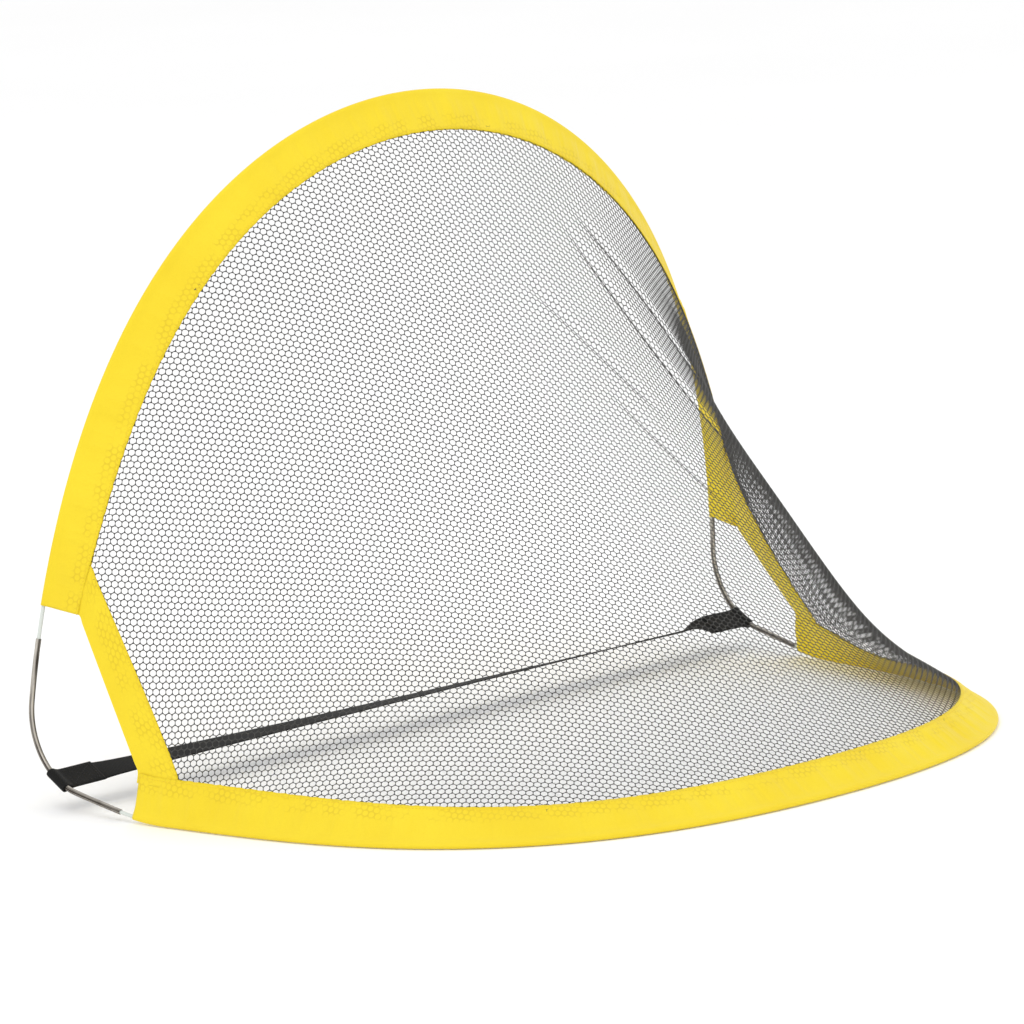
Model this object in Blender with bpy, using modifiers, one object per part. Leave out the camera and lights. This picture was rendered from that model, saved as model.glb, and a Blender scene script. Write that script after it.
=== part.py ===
"""Pop up goal: two sprung rods in fabric sleeves, bent steel corner tubes, a strap and a net.

Metres, +Z up. X runs along the strap, the goal's mouth faces -Y and the base arc lies towards +Y.
Left and right are those of someone who stands in front of the mouth: left is -X and right is +X.
The origin is the bottom centre of the object's box. The arch folds back about ARCH_HINGE, the line through
the upper mouths of the two corner tubes, where the arch rod flexes as it leaves the steel.
"""

import bpy
import numpy as np
from math import cos, pi, radians, sin, tan
from mathutils import Matrix, Vector

# Frame, in metres and radians
HALF_SPAN = 0.45             # from the middle to the lower mouth of a corner tube
ARCH_LEAN = radians(6.6)     # the arch leans back from the vertical, towards the base arc
ARCH_SPLAY = -0.156          # the rod's heading past square to the span, where it leaves the tube
ARCH_SHOULDER = 0.135
ARCH_CROWN = 0.034
BASE_SPLAY = -0.120
BASE_SHOULDER = 0.132
BASE_CROWN = 0.163
ROD_DIAMETER = 0.0036
ROD_INSERT = 0.030           # length of rod inside a corner tube
ROD_SETTLE = 0.054           # the base rod comes down to its flat lie over this length
TUBE_DIAMETER = 0.0052
TUBE_WALL = 0.00045
TUBE_BEND_RADIUS = 0.072
TUBE_LOWER_LEG = 0.0575
TUBE_UPPER_LEG = 0.058
TUBE_RISE = radians(12.0)    # the lower leg climbs from the base rod to the bend
FLEX_GAP = 0.003             # from the tube's mouth to the line on which the arch rod flexes

# Fabric sleeves, bands and net
SLEEVE_WIDTH = 0.041         # from the rod's centre to the hem that holds the net
SLEEVE_SLACK = 0.0005        # radial room round the rod
SLEEVE_CLOTH = 0.0008
HEM_THICKNESS = 0.0016
ARCH_SLEEVE_ENDS = (0.008, 0.028)   # bare rod between the flex line and the sleeve, left and right
BASE_SLEEVE_ENDS = (0.005, 0.0163)  # bare rod between the tube's lower mouth and the sleeve, left and right
BAND_WIDTH = 0.046
BAND_THICKNESS = 0.0012
NET_THICKNESS = 0.0008
NET_TENSION_ALONG = 0.32     # pull along the arcs, against a pull of 1 from arc to arc
NET_WEIGHT = 0.0005          # how far the weight of a knot would draw it down against one such pull
HEM_DROOP = 0.38             # share of its rise that the base hem loses where it lies lowest, at the left
HEM_DROOP_PLACE = 0.16       # from the base sleeve's left end to there
HEM_DROOP_REACH = 0.12       # how far along the sleeve the droop spreads to each side
SEAM_GAP = 0.0006

# Strap between the corners
STRAP_WIDTH = 0.025
STRAP_THICKNESS = 0.0012
STRAP_PLACE = 0.082          # from the tube's lower mouth to the loop, along the tube
STRAP_LOOP_LENGTH = 0.048    # from the tube's centre to the end of the sewn lap
STRAP_LOOP_SLACK = 0.0006
STRAP_TWIST = radians(-50.0) # how far the free strap has turned where it has turned most
STRAP_TWIST_EASE = 0.6       # below 1, most of the turn comes near the right end
STRAP_TWIST_PLACE = 0.88     # where that is, as a share of its length from the right end

# Fineness
ARC_STATIONS = 48
BEND_STATIONS = 12
LEG_STATIONS = 2
POCKET_SIDES = 12
HEM_ROOT_ANGLE = 14.0        # degrees from the hem's plane to where it leaves the pocket
HEM_TIP_ANGLE = 1.0
REST_HALF_ANGLE = 20.0       # half the angle of the flat that the pocket rests on, in degrees
NET_COLUMNS = 34
NET_ROWS = 18
STRAP_STATIONS = 24
LOOP_STATIONS = 5

# Sizes that follow
ROD_RADIUS = ROD_DIAMETER / 2
TUBE_RADIUS = TUBE_DIAMETER / 2
POCKET_RADIUS = ROD_RADIUS + SLEEVE_SLACK
POCKET_OUTER = POCKET_RADIUS + SLEEVE_CLOTH
ROD_HEIGHT = POCKET_OUTER * cos(radians(REST_HALF_ANGLE))

# Colours and finishes: base colour, roughness, metallic
YELLOW_POLYESTER = ((0.97, 0.76, 0.045), 0.75, 0.0)
WHITE_FIBREGLASS = ((0.86, 0.86, 0.84), 0.35, 0.0)
BRUSHED_STEEL = ((0.56, 0.55, 0.52), 0.32, 1.0)
BLACK_WEBBING = ((0.022, 0.022, 0.021), 0.8, 0.0)
BLACK_NET = ((0.03, 0.03, 0.03), 0.7, 0.0)


# ---- Lines ----

def unit(vectors):
    return vectors / np.linalg.norm(vectors, axis=-1, keepdims=True)


def distances(points):
    """Distance along a line from its first point to each point."""
    steps = np.linalg.norm(np.diff(points, axis=0), axis=1)
    return np.concatenate([[0.0], np.cumsum(steps)])


def places(points, wanted):
    """Points at the wanted distances along a line."""
    along = distances(points)
    return np.stack([np.interp(wanted, along, points[:, axis]) for axis in range(3)], axis=1)


def stretch(points, start, end):
    """The part of a line from one distance to another, with the line's own points between them."""
    along = distances(points)
    inner = points[(along > start + 1e-4) & (along < end - 1e-4)]
    ends = places(points, np.array([start, end]))
    return np.vstack([ends[:1], inner, ends[1:]])


def tangents(points):
    return unit(np.gradient(points, axis=0))


def arc_outline(half_span, splay, shoulder, crown):
    """A sprung rod seen square on: its heading turns steadily over, with two slow ripples in the turning."""
    share = np.linspace(0.0, 1.0, 20 * ARC_STATIONS + 1)
    ripples = shoulder * np.sin(2 * pi * share) + crown * np.sin(4 * pi * share)
    heading = (pi / 2 + splay) * (1 - 2 * share) + ripples
    middle = (heading[1:] + heading[:-1]) / 2
    across = np.concatenate([[0.0], np.cumsum(np.cos(middle))])
    out = np.concatenate([[0.0], np.cumsum(np.sin(middle))])
    size = 2 * half_span / across[-1]
    return across * size - half_span, out * size


def evenly(points, count):
    return places(points, np.linspace(0.0, distances(points)[-1], count + 1))


def elbow_line():
    """Centre line of the right corner tube from its lower mouth to its upper mouth.

    In side view it is a rising leg, a bend of TUBE_BEND_RADIUS and a leg in the arch's plane. It also bows
    outwards, so that each end points along the rod that leaves it.
    """
    start = np.array([0.0, tan(TUBE_RISE) * ROD_SETTLE / 2])
    first, last = pi - TUBE_RISE, pi / 2 - ARCH_LEAN
    heading = np.linspace(first, last, BEND_STATIONS + 1)
    leg = np.linspace(0.0, 1.0, LEG_STATIONS + 1)[:, None]
    foot = start + TUBE_LOWER_LEG * np.array([cos(first), sin(first)])
    centre = foot + TUBE_BEND_RADIUS * np.array([sin(first), -cos(first)])
    bend = centre + TUBE_BEND_RADIUS * np.stack([-np.sin(heading), np.cos(heading)], axis=1)
    top = bend[-1] + TUBE_UPPER_LEG * np.array([cos(last), sin(last)])
    side = np.vstack([start + (foot - start) * leg, bend[1:], bend[-1] + (top - bend[-1]) * leg[1:]])
    along = distances(side)
    lower_slope, upper_slope = tan(-BASE_SPLAY), tan(ARCH_SPLAY)
    bow = lower_slope * along + (upper_slope - lower_slope) * along**2 / (2 * along[-1])
    return np.column_stack([HALF_SPAN + bow, side])


def base_line():
    """Centre line of the base rod between the tubes' lower mouths, left to right."""
    x, y = arc_outline(HALF_SPAN, BASE_SPLAY, BASE_SHOULDER, BASE_CROWN)
    flat = np.column_stack([x, y, np.zeros_like(x)])
    along = distances(flat)
    from_end = np.minimum(along, along[-1] - along)
    rise = np.clip(1 - from_end / ROD_SETTLE, 0.0, 1.0)
    flat[:, 2] = tan(TUBE_RISE) * ROD_SETTLE / 2 * rise**2
    return evenly(flat, ARC_STATIONS)


def arch_line(elbow):
    """Centre line of the arch rod between the flex points above the tubes' upper mouths, left to right."""
    end = elbow[-1] + FLEX_GAP * unit(elbow[-1] - elbow[-2])
    x, rise = arc_outline(end[0], ARCH_SPLAY, ARCH_SHOULDER, ARCH_CROWN)
    leaning = np.column_stack([x, end[1] + rise * sin(ARCH_LEAN), end[2] + rise * cos(ARCH_LEAN)])
    return evenly(leaning, ARC_STATIONS)


def mirrored(points):
    return points * np.array([-1.0, 1.0, 1.0])


ELBOW = elbow_line()
BASE = base_line()
ARCH = arch_line(ELBOW)
FRONT = ELBOW[:, 1].min() - TUBE_RADIUS
BACK = BASE[:, 1].max() + POCKET_OUTER
TO_ORIGIN = np.array([0.0, -(FRONT + BACK) / 2, ROD_HEIGHT])
ELBOW = ELBOW + TO_ORIGIN
BASE = BASE + TO_ORIGIN
ARCH = ARCH + TO_ORIGIN
ARCH_HINGE = Vector((0.0, ARCH[0, 1], ARCH[0, 2]))


# ---- The cloth between the arcs ----

def even_net(columns, rows, base_hem, arch_hem):
    """Knots of a stretched net: each lies at the weighted mean of its four neighbours, less its weight's sag.

    base_hem and arch_hem hold the net's two long edges, and the side edges are straight between their ends.
    The result is an array of columns + 1 by rows + 1 points.
    """
    share = np.linspace(0.0, 1.0, rows + 1)[None, :, None]
    knots = base_hem[:, None] * (1 - share) + arch_hem[:, None] * share
    inner = np.zeros(knots.shape[:2], bool)
    inner[1:-1, 1:-1] = True
    number = -np.ones(knots.shape[:2], int)
    number[inner] = np.arange(inner.sum())
    spans = (distances(base_hem) + distances(arch_hem)) / 2
    pull_along = np.diff(spans).mean() / np.diff(spans) * NET_TENSION_ALONG
    matrix = np.zeros((inner.sum(), inner.sum()))
    pulls = np.tile([0.0, 0.0, -NET_WEIGHT], (inner.sum(), 1))
    column, row = np.nonzero(inner)
    here = number[column, row]
    sides = (
        (column - 1, row, pull_along[column - 1]),
        (column + 1, row, pull_along[column]),
        (column, row - 1, np.ones(len(row))),
        (column, row + 1, np.ones(len(row))),
    )
    for beside, level, pull in sides:
        matrix[here, here] += pull
        there = number[beside, level]
        free = there >= 0
        matrix[here[free], there[free]] -= pull[free]
        pulls[here[~free]] += (pull[:, None] * knots[beside, level])[~free]
    knots[inner] = np.linalg.solve(matrix, pulls)
    return knots


def square_to(directions, along):
    """Unit directions with what runs along the line taken out."""
    return unit(directions - (directions * along).sum(axis=1, keepdims=True) * along)


def hem_directions(line, towards):
    """Directions in which a sleeve's hem leaves its rod: square to the rod and towards the given points."""
    return square_to(towards - line, tangents(line))


def eased(values, rounds):
    """Values along a line, evened out with their neighbours."""
    for _ in range(rounds):
        values = np.vstack([values[:1], (values[:-2] + 2 * values[1:-1] + values[2:]) / 4, values[-1:]])
    return values


def net_stations(line):
    """Places along a sleeve's line for the net's columns: one at each band's inner edge, the rest even."""
    whole = distances(line)[-1]
    inner = np.linspace(BAND_WIDTH, whole - BAND_WIDTH, NET_COLUMNS - 1)
    return places(line, np.concatenate([[0.0], inner, [whole]]))


def cloth(base_sleeve, arch_sleeve):
    """(knots, base directions, arch directions): the net and the way the two sleeves lie, found together.

    The hems first point straight at each other. Each round stretches the net between them and turns them to
    lie along it, as cloth under tension does. Near its left end the base hem droops, by a bell curve.
    """
    base, arch = net_stations(base_sleeve), net_stations(arch_sleeve)
    droop = np.ones((len(base), 3))
    droop[:, 2] -= HEM_DROOP * np.exp(-(((distances(base) - HEM_DROOP_PLACE) / HEM_DROOP_REACH) ** 2))
    base_way, arch_way = hem_directions(base, arch), hem_directions(arch, base)
    reach = SLEEVE_WIDTH + SEAM_GAP
    for _ in range(4):
        knots = even_net(NET_COLUMNS, NET_ROWS, base + reach * base_way, arch + reach * arch_way)
        base_way = square_to(eased(hem_directions(base, knots[:, 1]), 2), tangents(base))
        base_way = square_to(base_way * droop, tangents(base))
        arch_way = square_to(eased(hem_directions(arch, knots[:, -2]), 2), tangents(arch))
    knots = even_net(NET_COLUMNS, NET_ROWS, base + reach * base_way, arch + reach * arch_way)
    return knots, base_way, arch_way


def spread_directions(line, ways):
    """Hem directions at every point of a sleeve's line, from those at the net's columns."""
    stations = distances(net_stations(line))
    along = distances(line)
    spread = np.stack([np.interp(along, stations, ways[:, axis]) for axis in range(3)], axis=1)
    return square_to(spread, tangents(line))


BASE_SLEEVE = stretch(BASE, BASE_SLEEVE_ENDS[0], distances(BASE)[-1] - BASE_SLEEVE_ENDS[1])
ARCH_SLEEVE = stretch(ARCH, ARCH_SLEEVE_ENDS[0], distances(ARCH)[-1] - ARCH_SLEEVE_ENDS[1])
KNOTS, BASE_WAYS, ARCH_WAYS = cloth(BASE_SLEEVE, ARCH_SLEEVE)


# ---- Blender objects ----

def clear_scene():
    for obj in list(bpy.data.objects):
        bpy.data.objects.remove(obj, do_unlink=True)


def material(name, finish):
    colour, roughness, metallic = finish
    made = bpy.data.materials.new(name)
    made.use_nodes = True
    shader = made.node_tree.nodes["Principled BSDF"]
    shader.inputs["Base Color"].default_value = (*colour, 1.0)
    shader.inputs["Roughness"].default_value = roughness
    shader.inputs["Metallic"].default_value = metallic
    made.diffuse_color = (*colour, 1.0)
    return made


def collection(name):
    made = bpy.data.collections.new(name)
    bpy.context.scene.collection.children.link(made)
    return made


def add(name, data, finish, home, origin=Vector((0.0, 0.0, 0.0))):
    """An object from mesh or curve data given in world places, with its origin moved to the given point."""
    data.transform(Matrix.Translation(-origin))
    data.materials.append(material(name, finish))
    made = bpy.data.objects.new(name, data)
    made.location = origin
    home.objects.link(made)
    return made


def wire(name, points, radius, roundness, capped=True):
    """Curve data for a rod or a tube's outside along a line of points."""
    curve = bpy.data.curves.new(name, "CURVE")
    curve.dimensions = "3D"
    curve.bevel_depth = radius
    curve.bevel_resolution = roundness
    curve.use_fill_caps = capped
    spline = curve.splines.new("POLY")
    spline.points.add(len(points) - 1)
    for point, place in zip(spline.points, points):
        point.co = (*place, 1.0)
    spline.use_smooth = True
    return curve


def grid_faces(columns, rows, closed_rows=False):
    """Quads between the points of a grid that is numbered row by row within each column."""
    per_column = rows if closed_rows else rows + 1
    first = np.arange(columns)[:, None] * per_column
    step = np.arange(rows)[None, :]
    after = (step + 1) % per_column
    corners = [first + step, first + per_column + step, first + per_column + after, first + after]
    return np.stack(corners, axis=-1).reshape(-1, 4)


def surface(name, knots):
    """Mesh data for an open surface through an array of columns by rows of points."""
    columns, rows = knots.shape[0] - 1, knots.shape[1] - 1
    mesh = bpy.data.meshes.new(name)
    mesh.from_pydata(knots.reshape(-1, 3).tolist(), [], grid_faces(columns, rows).tolist())
    mesh.shade_smooth()
    return mesh


def thicken(obj, thickness, offset=0.0):
    wall = obj.modifiers.new("wall", "SOLIDIFY")
    wall.thickness = thickness
    wall.offset = offset
    wall.use_even_offset = True
    return obj


def pocket_angles(hem):
    """Angles of a pocket's corners in degrees, one row per section, from the hem's lower corner on.

    hem holds the hem's angle in each section. Two corners bound the flat at 270 degrees that the pocket
    rests on, and the others are shared out between the stretch above it and the stretch below it.
    """
    rest_start, rest_end = 270.0 - REST_HALF_ANGLE, 270.0 + REST_HALF_ANGLE
    over_span = rest_start - HEM_ROOT_ANGLE - hem.mean()
    under_span = 360.0 - HEM_ROOT_ANGLE + hem.mean() - rest_end
    over_sides = round((POCKET_SIDES - 4) * over_span / (over_span + under_span))
    over = np.linspace(hem + HEM_ROOT_ANGLE, np.full_like(hem, rest_start), over_sides + 1)
    under_sides = POCKET_SIDES - 4 - over_sides
    under = np.linspace(np.full_like(hem, rest_end), 360.0 - HEM_ROOT_ANGLE + hem, under_sides + 1)
    return np.vstack([[hem - HEM_TIP_ANGLE, hem + HEM_TIP_ANGLE], over, under]).T


def pocket(name, line, ways, high_hint, bore, outer, reach, thickness):
    """Mesh data for a pocket round a rod with a flat hem to one side: a loft of one section per point.

    A section's angles count from the hem's side of the rod towards high_hint. Each section has an outline,
    which is the pocket and the hem, and a bore with as many corners.
    """
    along = tangents(line)
    high = square_to(np.tile(high_hint, (len(line), 1)), along)
    inward = np.cross(along, high)
    turned = (ways * inward).sum() < 0
    if turned:
        inward = -inward
    hem = np.degrees(np.arctan2((ways * high).sum(axis=1), (ways * inward).sum(axis=1)))
    angles = pocket_angles(hem)

    def around(degrees, radius):
        turn = np.radians(degrees)[..., None]
        return line[:, None] + radius * (np.cos(turn) * inward[:, None] + np.sin(turn) * high[:, None])

    outline, hole_angles = around(angles, outer), angles.copy()
    over_hem = around(hem[:, None] + 90.0, thickness / 2)[:, 0] - line
    outline[:, 0] = line + reach * ways - over_hem
    outline[:, 1] = line + reach * ways + over_hem
    hole_angles[:, 0] = hem - HEM_ROOT_ANGLE / 2
    hole_angles[:, 1] = hem + HEM_ROOT_ANGLE / 2
    points = np.concatenate([outline, around(hole_angles, bore)], axis=1)
    count, steps = angles.shape[1], len(line) - 1
    corner = np.arange(count)
    beside = (corner + 1) % count
    start = 2 * count * np.arange(steps)[:, None]
    end, last = start + 2 * count, 2 * count * steps
    outer_wall = np.broadcast_arrays(start + corner, end + corner, end + beside, start + beside)
    bore_wall = np.broadcast_arrays(start + beside, end + beside, end + corner, start + corner)
    quads = [
        np.stack(outer_wall, axis=-1),
        np.stack(bore_wall, axis=-1) + count,
        np.stack([corner, beside, count + beside, count + corner], axis=-1),
        np.stack([beside, corner, count + corner, count + beside], axis=-1) + last,
    ]
    faces = np.concatenate([group.reshape(-1, 4) for group in quads])
    if turned:
        faces = faces[:, ::-1]
    mesh = bpy.data.meshes.new(name)
    mesh.from_pydata(points.reshape(-1, 3).tolist(), [], faces.tolist())
    return mesh


# ---- Pieces ----

def make_rods(home):
    lower_leg = stretch(ELBOW, 0.0, ROD_INSERT)
    base = np.vstack([mirrored(lower_leg)[::-1], BASE[1:-1], lower_leg])
    add("base_rod", wire("base_rod", base, ROD_RADIUS, 2), WHITE_FIBREGLASS, home)
    add("arch_rod", wire("arch_rod", ARCH, ROD_RADIUS, 2), WHITE_FIBREGLASS, home, ARCH_HINGE)
    whole = distances(ELBOW)[-1]
    tail = stretch(ELBOW, whole - ROD_INSERT, whole)
    for side, line in (("left", mirrored(tail)), ("right", tail)):
        name = f"arch_rod_tail_{side}"
        add(name, wire(name, line, ROD_RADIUS, 2), WHITE_FIBREGLASS, home)


def make_corner_tubes(home):
    for side, line in (("left", mirrored(ELBOW)), ("right", ELBOW)):
        name = f"corner_tube_{side}"
        tube = add(name, wire(name, line, TUBE_RADIUS, 4, capped=False), BRUSHED_STEEL, home)
        thicken(tube, TUBE_WALL, offset=-1.0)


def make_sleeves(home):
    back_of_arch = (0.0, cos(ARCH_LEAN), -sin(ARCH_LEAN))
    for name, line, ways, high, origin in (
        ("base_sleeve", BASE_SLEEVE, BASE_WAYS, (0.0, 0.0, 1.0), Vector()),
        ("arch_sleeve", ARCH_SLEEVE, ARCH_WAYS, back_of_arch, ARCH_HINGE),
    ):
        spread = spread_directions(line, ways)
        mesh = pocket(name, line, spread, high, POCKET_RADIUS, POCKET_OUTER, SLEEVE_WIDTH, HEM_THICKNESS)
        add(name, mesh, YELLOW_POLYESTER, home, origin)


def make_net_and_bands(home):
    """The net lies between the bands, which close its two ends from hem to hem."""
    left_in, right_in = KNOTS[1], KNOTS[-2]
    left_gap = left_in + SEAM_GAP * unit(KNOTS[2] - left_in)
    right_gap = right_in + SEAM_GAP * unit(KNOTS[-3] - right_in)
    inner = np.concatenate([left_gap[None], KNOTS[2:-2], right_gap[None]])
    thicken(add("net", surface("net", inner), BLACK_NET, home), NET_THICKNESS)
    for side, knots in (("left", KNOTS[:2]), ("right", KNOTS[-2:])):
        middle = knots.mean(axis=0)
        name = f"side_band_{side}"
        band = np.stack([knots[0], middle, knots[1]])
        thicken(add(name, surface(name, band), YELLOW_POLYESTER, home), BAND_THICKNESS)


def loop_frame():
    """Place and heading of the right corner tube where the strap's loop sits."""
    near = places(ELBOW, np.array([STRAP_PLACE - 1e-3, STRAP_PLACE, STRAP_PLACE + 1e-3]))
    return near[1], unit(near[2] - near[0])


def make_strap_loops(home):
    """A lap of webbing round each corner tube, sewn flat towards the other corner."""
    start, end = STRAP_PLACE - STRAP_WIDTH / 2, STRAP_PLACE + STRAP_WIDTH / 2
    line = places(ELBOW, np.linspace(start, end, LOOP_STATIONS))
    bore = TUBE_RADIUS + STRAP_LOOP_SLACK
    inside_bend = (0.0, 1.0, 1.0)
    for side, points, towards in (("left", mirrored(line), 1.0), ("right", line, -1.0)):
        ways = square_to(np.tile([towards, 0.0, 0.0], (LOOP_STATIONS, 1)), tangents(points))
        name = f"strap_loop_{side}"
        outer = bore + STRAP_THICKNESS
        mesh = pocket(name, points, ways, inside_bend, bore, outer, STRAP_LOOP_LENGTH, 2 * STRAP_THICKNESS)
        add(name, mesh, BLACK_WEBBING, home)


def make_strap(home):
    """The free webbing between the loops: a flat ribbon that turns slowly, and turns back at its left end."""
    place, heading = loop_frame()
    half = place[0] - STRAP_LOOP_LENGTH - SEAM_GAP
    share = np.linspace(0.0, 1.0, STRAP_STATIONS + 1)
    turning = (share / STRAP_TWIST_PLACE) ** STRAP_TWIST_EASE
    back = (1 - share) / (1 - STRAP_TWIST_PLACE)
    returning = np.sin(np.minimum(back, 1.0) * pi / 2) ** 2
    turn = STRAP_TWIST * np.where(share < STRAP_TWIST_PLACE, turning, returning)
    flat = np.arctan2(heading[2], -heading[1])
    width = np.stack([np.zeros_like(turn), -np.cos(flat + turn), np.sin(flat + turn)], axis=1)
    middle = np.tile(place, (STRAP_STATIONS + 1, 1))
    middle[:, 0] = half * (1 - 2 * share)
    ribbon = np.stack([middle + STRAP_WIDTH / 2 * width * edge for edge in (-1.0, 0.0, 1.0)], axis=1)
    thicken(add("strap", surface("strap", ribbon), BLACK_WEBBING, home), STRAP_THICKNESS)


def main():
    clear_scene()
    home = collection("pop_up_goal")
    make_rods(home)
    make_corner_tubes(home)
    make_sleeves(home)
    make_net_and_bands(home)
    make_strap_loops(home)
    make_strap(home)


main()
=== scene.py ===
"""Pop up goal: the detailed rods, tubes, cloth, net and strap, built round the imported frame.

Metres, +Z up. X runs along the strap, the mouth faces -Y and the base arc lies towards +Y. Left is -X.
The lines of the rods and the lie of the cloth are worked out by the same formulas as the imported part's.
"""

from math import cos, pi, radians, sin, tan

import bpy
import numpy as np
from mathutils import Matrix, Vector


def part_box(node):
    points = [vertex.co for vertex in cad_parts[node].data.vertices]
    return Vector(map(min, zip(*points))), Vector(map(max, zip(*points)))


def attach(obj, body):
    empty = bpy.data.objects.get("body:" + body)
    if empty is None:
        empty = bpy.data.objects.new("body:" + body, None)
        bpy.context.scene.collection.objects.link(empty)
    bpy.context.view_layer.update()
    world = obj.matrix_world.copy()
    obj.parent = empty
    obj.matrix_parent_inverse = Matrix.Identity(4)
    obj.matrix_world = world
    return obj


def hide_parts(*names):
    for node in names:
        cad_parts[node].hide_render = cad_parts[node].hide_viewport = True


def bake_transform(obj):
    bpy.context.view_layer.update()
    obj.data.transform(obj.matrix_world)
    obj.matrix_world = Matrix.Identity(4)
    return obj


bl_info = {
    "name": "Pop Up Goal",
    "version": (1, 0, 0),
    "blender": (4, 5, 0),
    "location": "3D View > Sidebar > Goal",
    "description": "Builds a pop up goal round its packed frame: rods, tubes, cloth, net and strap",
    "category": "Add Mesh",
}

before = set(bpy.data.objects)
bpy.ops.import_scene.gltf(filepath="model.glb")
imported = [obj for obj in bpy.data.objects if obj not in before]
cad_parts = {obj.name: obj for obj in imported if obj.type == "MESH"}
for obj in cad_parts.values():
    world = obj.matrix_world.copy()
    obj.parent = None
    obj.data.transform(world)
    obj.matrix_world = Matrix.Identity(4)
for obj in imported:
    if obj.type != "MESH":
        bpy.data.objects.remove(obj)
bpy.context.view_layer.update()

# The part's own sizes, in metres and radians; only the strap's twist has an ease and a place of its own
HALF_SPAN = 0.45
ARCH_LEAN = radians(6.6)
ARCH_SPLAY, ARCH_SHOULDER, ARCH_CROWN = -0.156, 0.135, 0.034
BASE_SPLAY, BASE_SHOULDER, BASE_CROWN = -0.120, 0.132, 0.163
ROD_RADIUS = 0.0018
ROD_INSERT = 0.030
ROD_SETTLE = 0.054
TUBE_RADIUS = 0.0026
TUBE_WALL = 0.00045
TUBE_BEND_RADIUS = 0.072
TUBE_LOWER_LEG, TUBE_UPPER_LEG = 0.0575, 0.058
TUBE_RISE = radians(12.0)
FLEX_GAP = 0.003
SLEEVE_WIDTH = 0.041
SEAM_GAP = 0.0006
ARCH_SLEEVE_ENDS = (0.008, 0.028)
BASE_SLEEVE_ENDS = (0.005, 0.0163)
BAND_WIDTH = 0.046
NET_COLUMNS, NET_ROWS = 34, 18
NET_TENSION_ALONG, NET_WEIGHT = 0.32, 0.0005
HEM_DROOP, HEM_DROOP_PLACE, HEM_DROOP_REACH = 0.38, 0.16, 0.12
POCKET_OUTER = 0.0031
REST_HALF_ANGLE = radians(20.0)
STRAP_WIDTH, STRAP_THICKNESS = 0.025, 0.0012
STRAP_PLACE = 0.082
STRAP_LOOP_LENGTH, STRAP_LOOP_SLACK = 0.048, 0.0006
STRAP_TWIST, STRAP_TWIST_EASE, STRAP_TWIST_PLACE = radians(-50.0), 0.45, 0.96

# Fineness of the lines
ARC_STEP = 0.0026
ARC_SAMPLES = 1200
ELBOW_BEND_POINTS, ELBOW_LEG_POINTS = 65, 25
CLOTH_ROUNDS, EASE_ROUNDS = 4, 2


# ---- Lines ----

def unit(vectors):
    return vectors / np.linalg.norm(vectors, axis=-1, keepdims=True)


def distances(points):
    """Distance along a line from its first point to each point."""
    return np.concatenate([[0.0], np.cumsum(np.linalg.norm(np.diff(points, axis=0), axis=1))])


def read_along(along, values, wanted):
    """Rows of three values at the wanted distances along a line."""
    return np.stack([np.interp(wanted, along, values[:, axis]) for axis in range(3)], axis=1)


def places(points, wanted):
    """Points at the wanted distances along a line."""
    return read_along(distances(points), points, wanted)


def stretch(points, start, end, step=ARC_STEP):
    """The part of a line from one distance to another, in even steps."""
    return places(points, np.linspace(start, end, max(2, round((end - start) / step)) + 1))


def tangents(points):
    return unit(np.gradient(points, axis=0))


def arc_outline(half_span, splay, shoulder, crown):
    """A sprung rod seen square on: its heading turns steadily over, with two slow ripples in the turn."""
    share = np.linspace(0.0, 1.0, ARC_SAMPLES + 1)
    steady = (pi / 2 + splay) * (1 - 2 * share)
    heading = steady + shoulder * np.sin(2 * pi * share) + crown * np.sin(4 * pi * share)
    middle = (heading[1:] + heading[:-1]) / 2
    across = np.concatenate([[0.0], np.cumsum(np.cos(middle))])
    out = np.concatenate([[0.0], np.cumsum(np.sin(middle))])
    size = 2 * half_span / across[-1]
    return across * size - half_span, out * size


def elbow_line():
    """Right corner tube, from its lower mouth: a rising leg, a round bend and a leg in the arch's plane.

    It bows out as a parabola, from the base rod's heading at one mouth to the arch rod's at the other.
    """
    start = np.array([0.0, tan(TUBE_RISE) * ROD_SETTLE / 2])
    first, last = pi - TUBE_RISE, pi / 2 - ARCH_LEAN
    heading = np.linspace(first, last, ELBOW_BEND_POINTS)
    leg = np.linspace(0.0, 1.0, ELBOW_LEG_POINTS)[:, None]
    foot = start + TUBE_LOWER_LEG * np.array([cos(first), sin(first)])
    centre = foot + TUBE_BEND_RADIUS * np.array([sin(first), -cos(first)])
    bend = centre + TUBE_BEND_RADIUS * np.stack([-np.sin(heading), np.cos(heading)], axis=1)
    top = bend[-1] + TUBE_UPPER_LEG * np.array([cos(last), sin(last)])
    side = np.vstack([start + (foot - start) * leg, bend[1:], bend[-1] + (top - bend[-1]) * leg[1:]])
    along = distances(side)
    lower_slope, upper_slope = tan(-BASE_SPLAY), tan(ARCH_SPLAY)
    bow = lower_slope * along + (upper_slope - lower_slope) * along**2 / (2 * along[-1])
    return np.column_stack([HALF_SPAN + bow, side])


def base_line():
    """Base rod between the tubes' lower mouths, left to right, settling onto the ground near its ends."""
    x, y = arc_outline(HALF_SPAN, BASE_SPLAY, BASE_SHOULDER, BASE_CROWN)
    along = distances(np.column_stack([x, y, 0 * x]))
    rise = np.clip(1 - np.minimum(along, along[-1] - along) / ROD_SETTLE, 0.0, 1.0)
    return np.column_stack([x, y, tan(TUBE_RISE) * ROD_SETTLE / 2 * rise**2])


def arch_line(elbow):
    """Arch rod between the flex points just above the tubes' upper mouths, left to right."""
    end = elbow[-1] + FLEX_GAP * unit(elbow[-1] - elbow[-2])
    x, rise = arc_outline(end[0], ARCH_SPLAY, ARCH_SHOULDER, ARCH_CROWN)
    return np.column_stack([x, end[1] + rise * sin(ARCH_LEAN), end[2] + rise * cos(ARCH_LEAN)])


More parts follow.
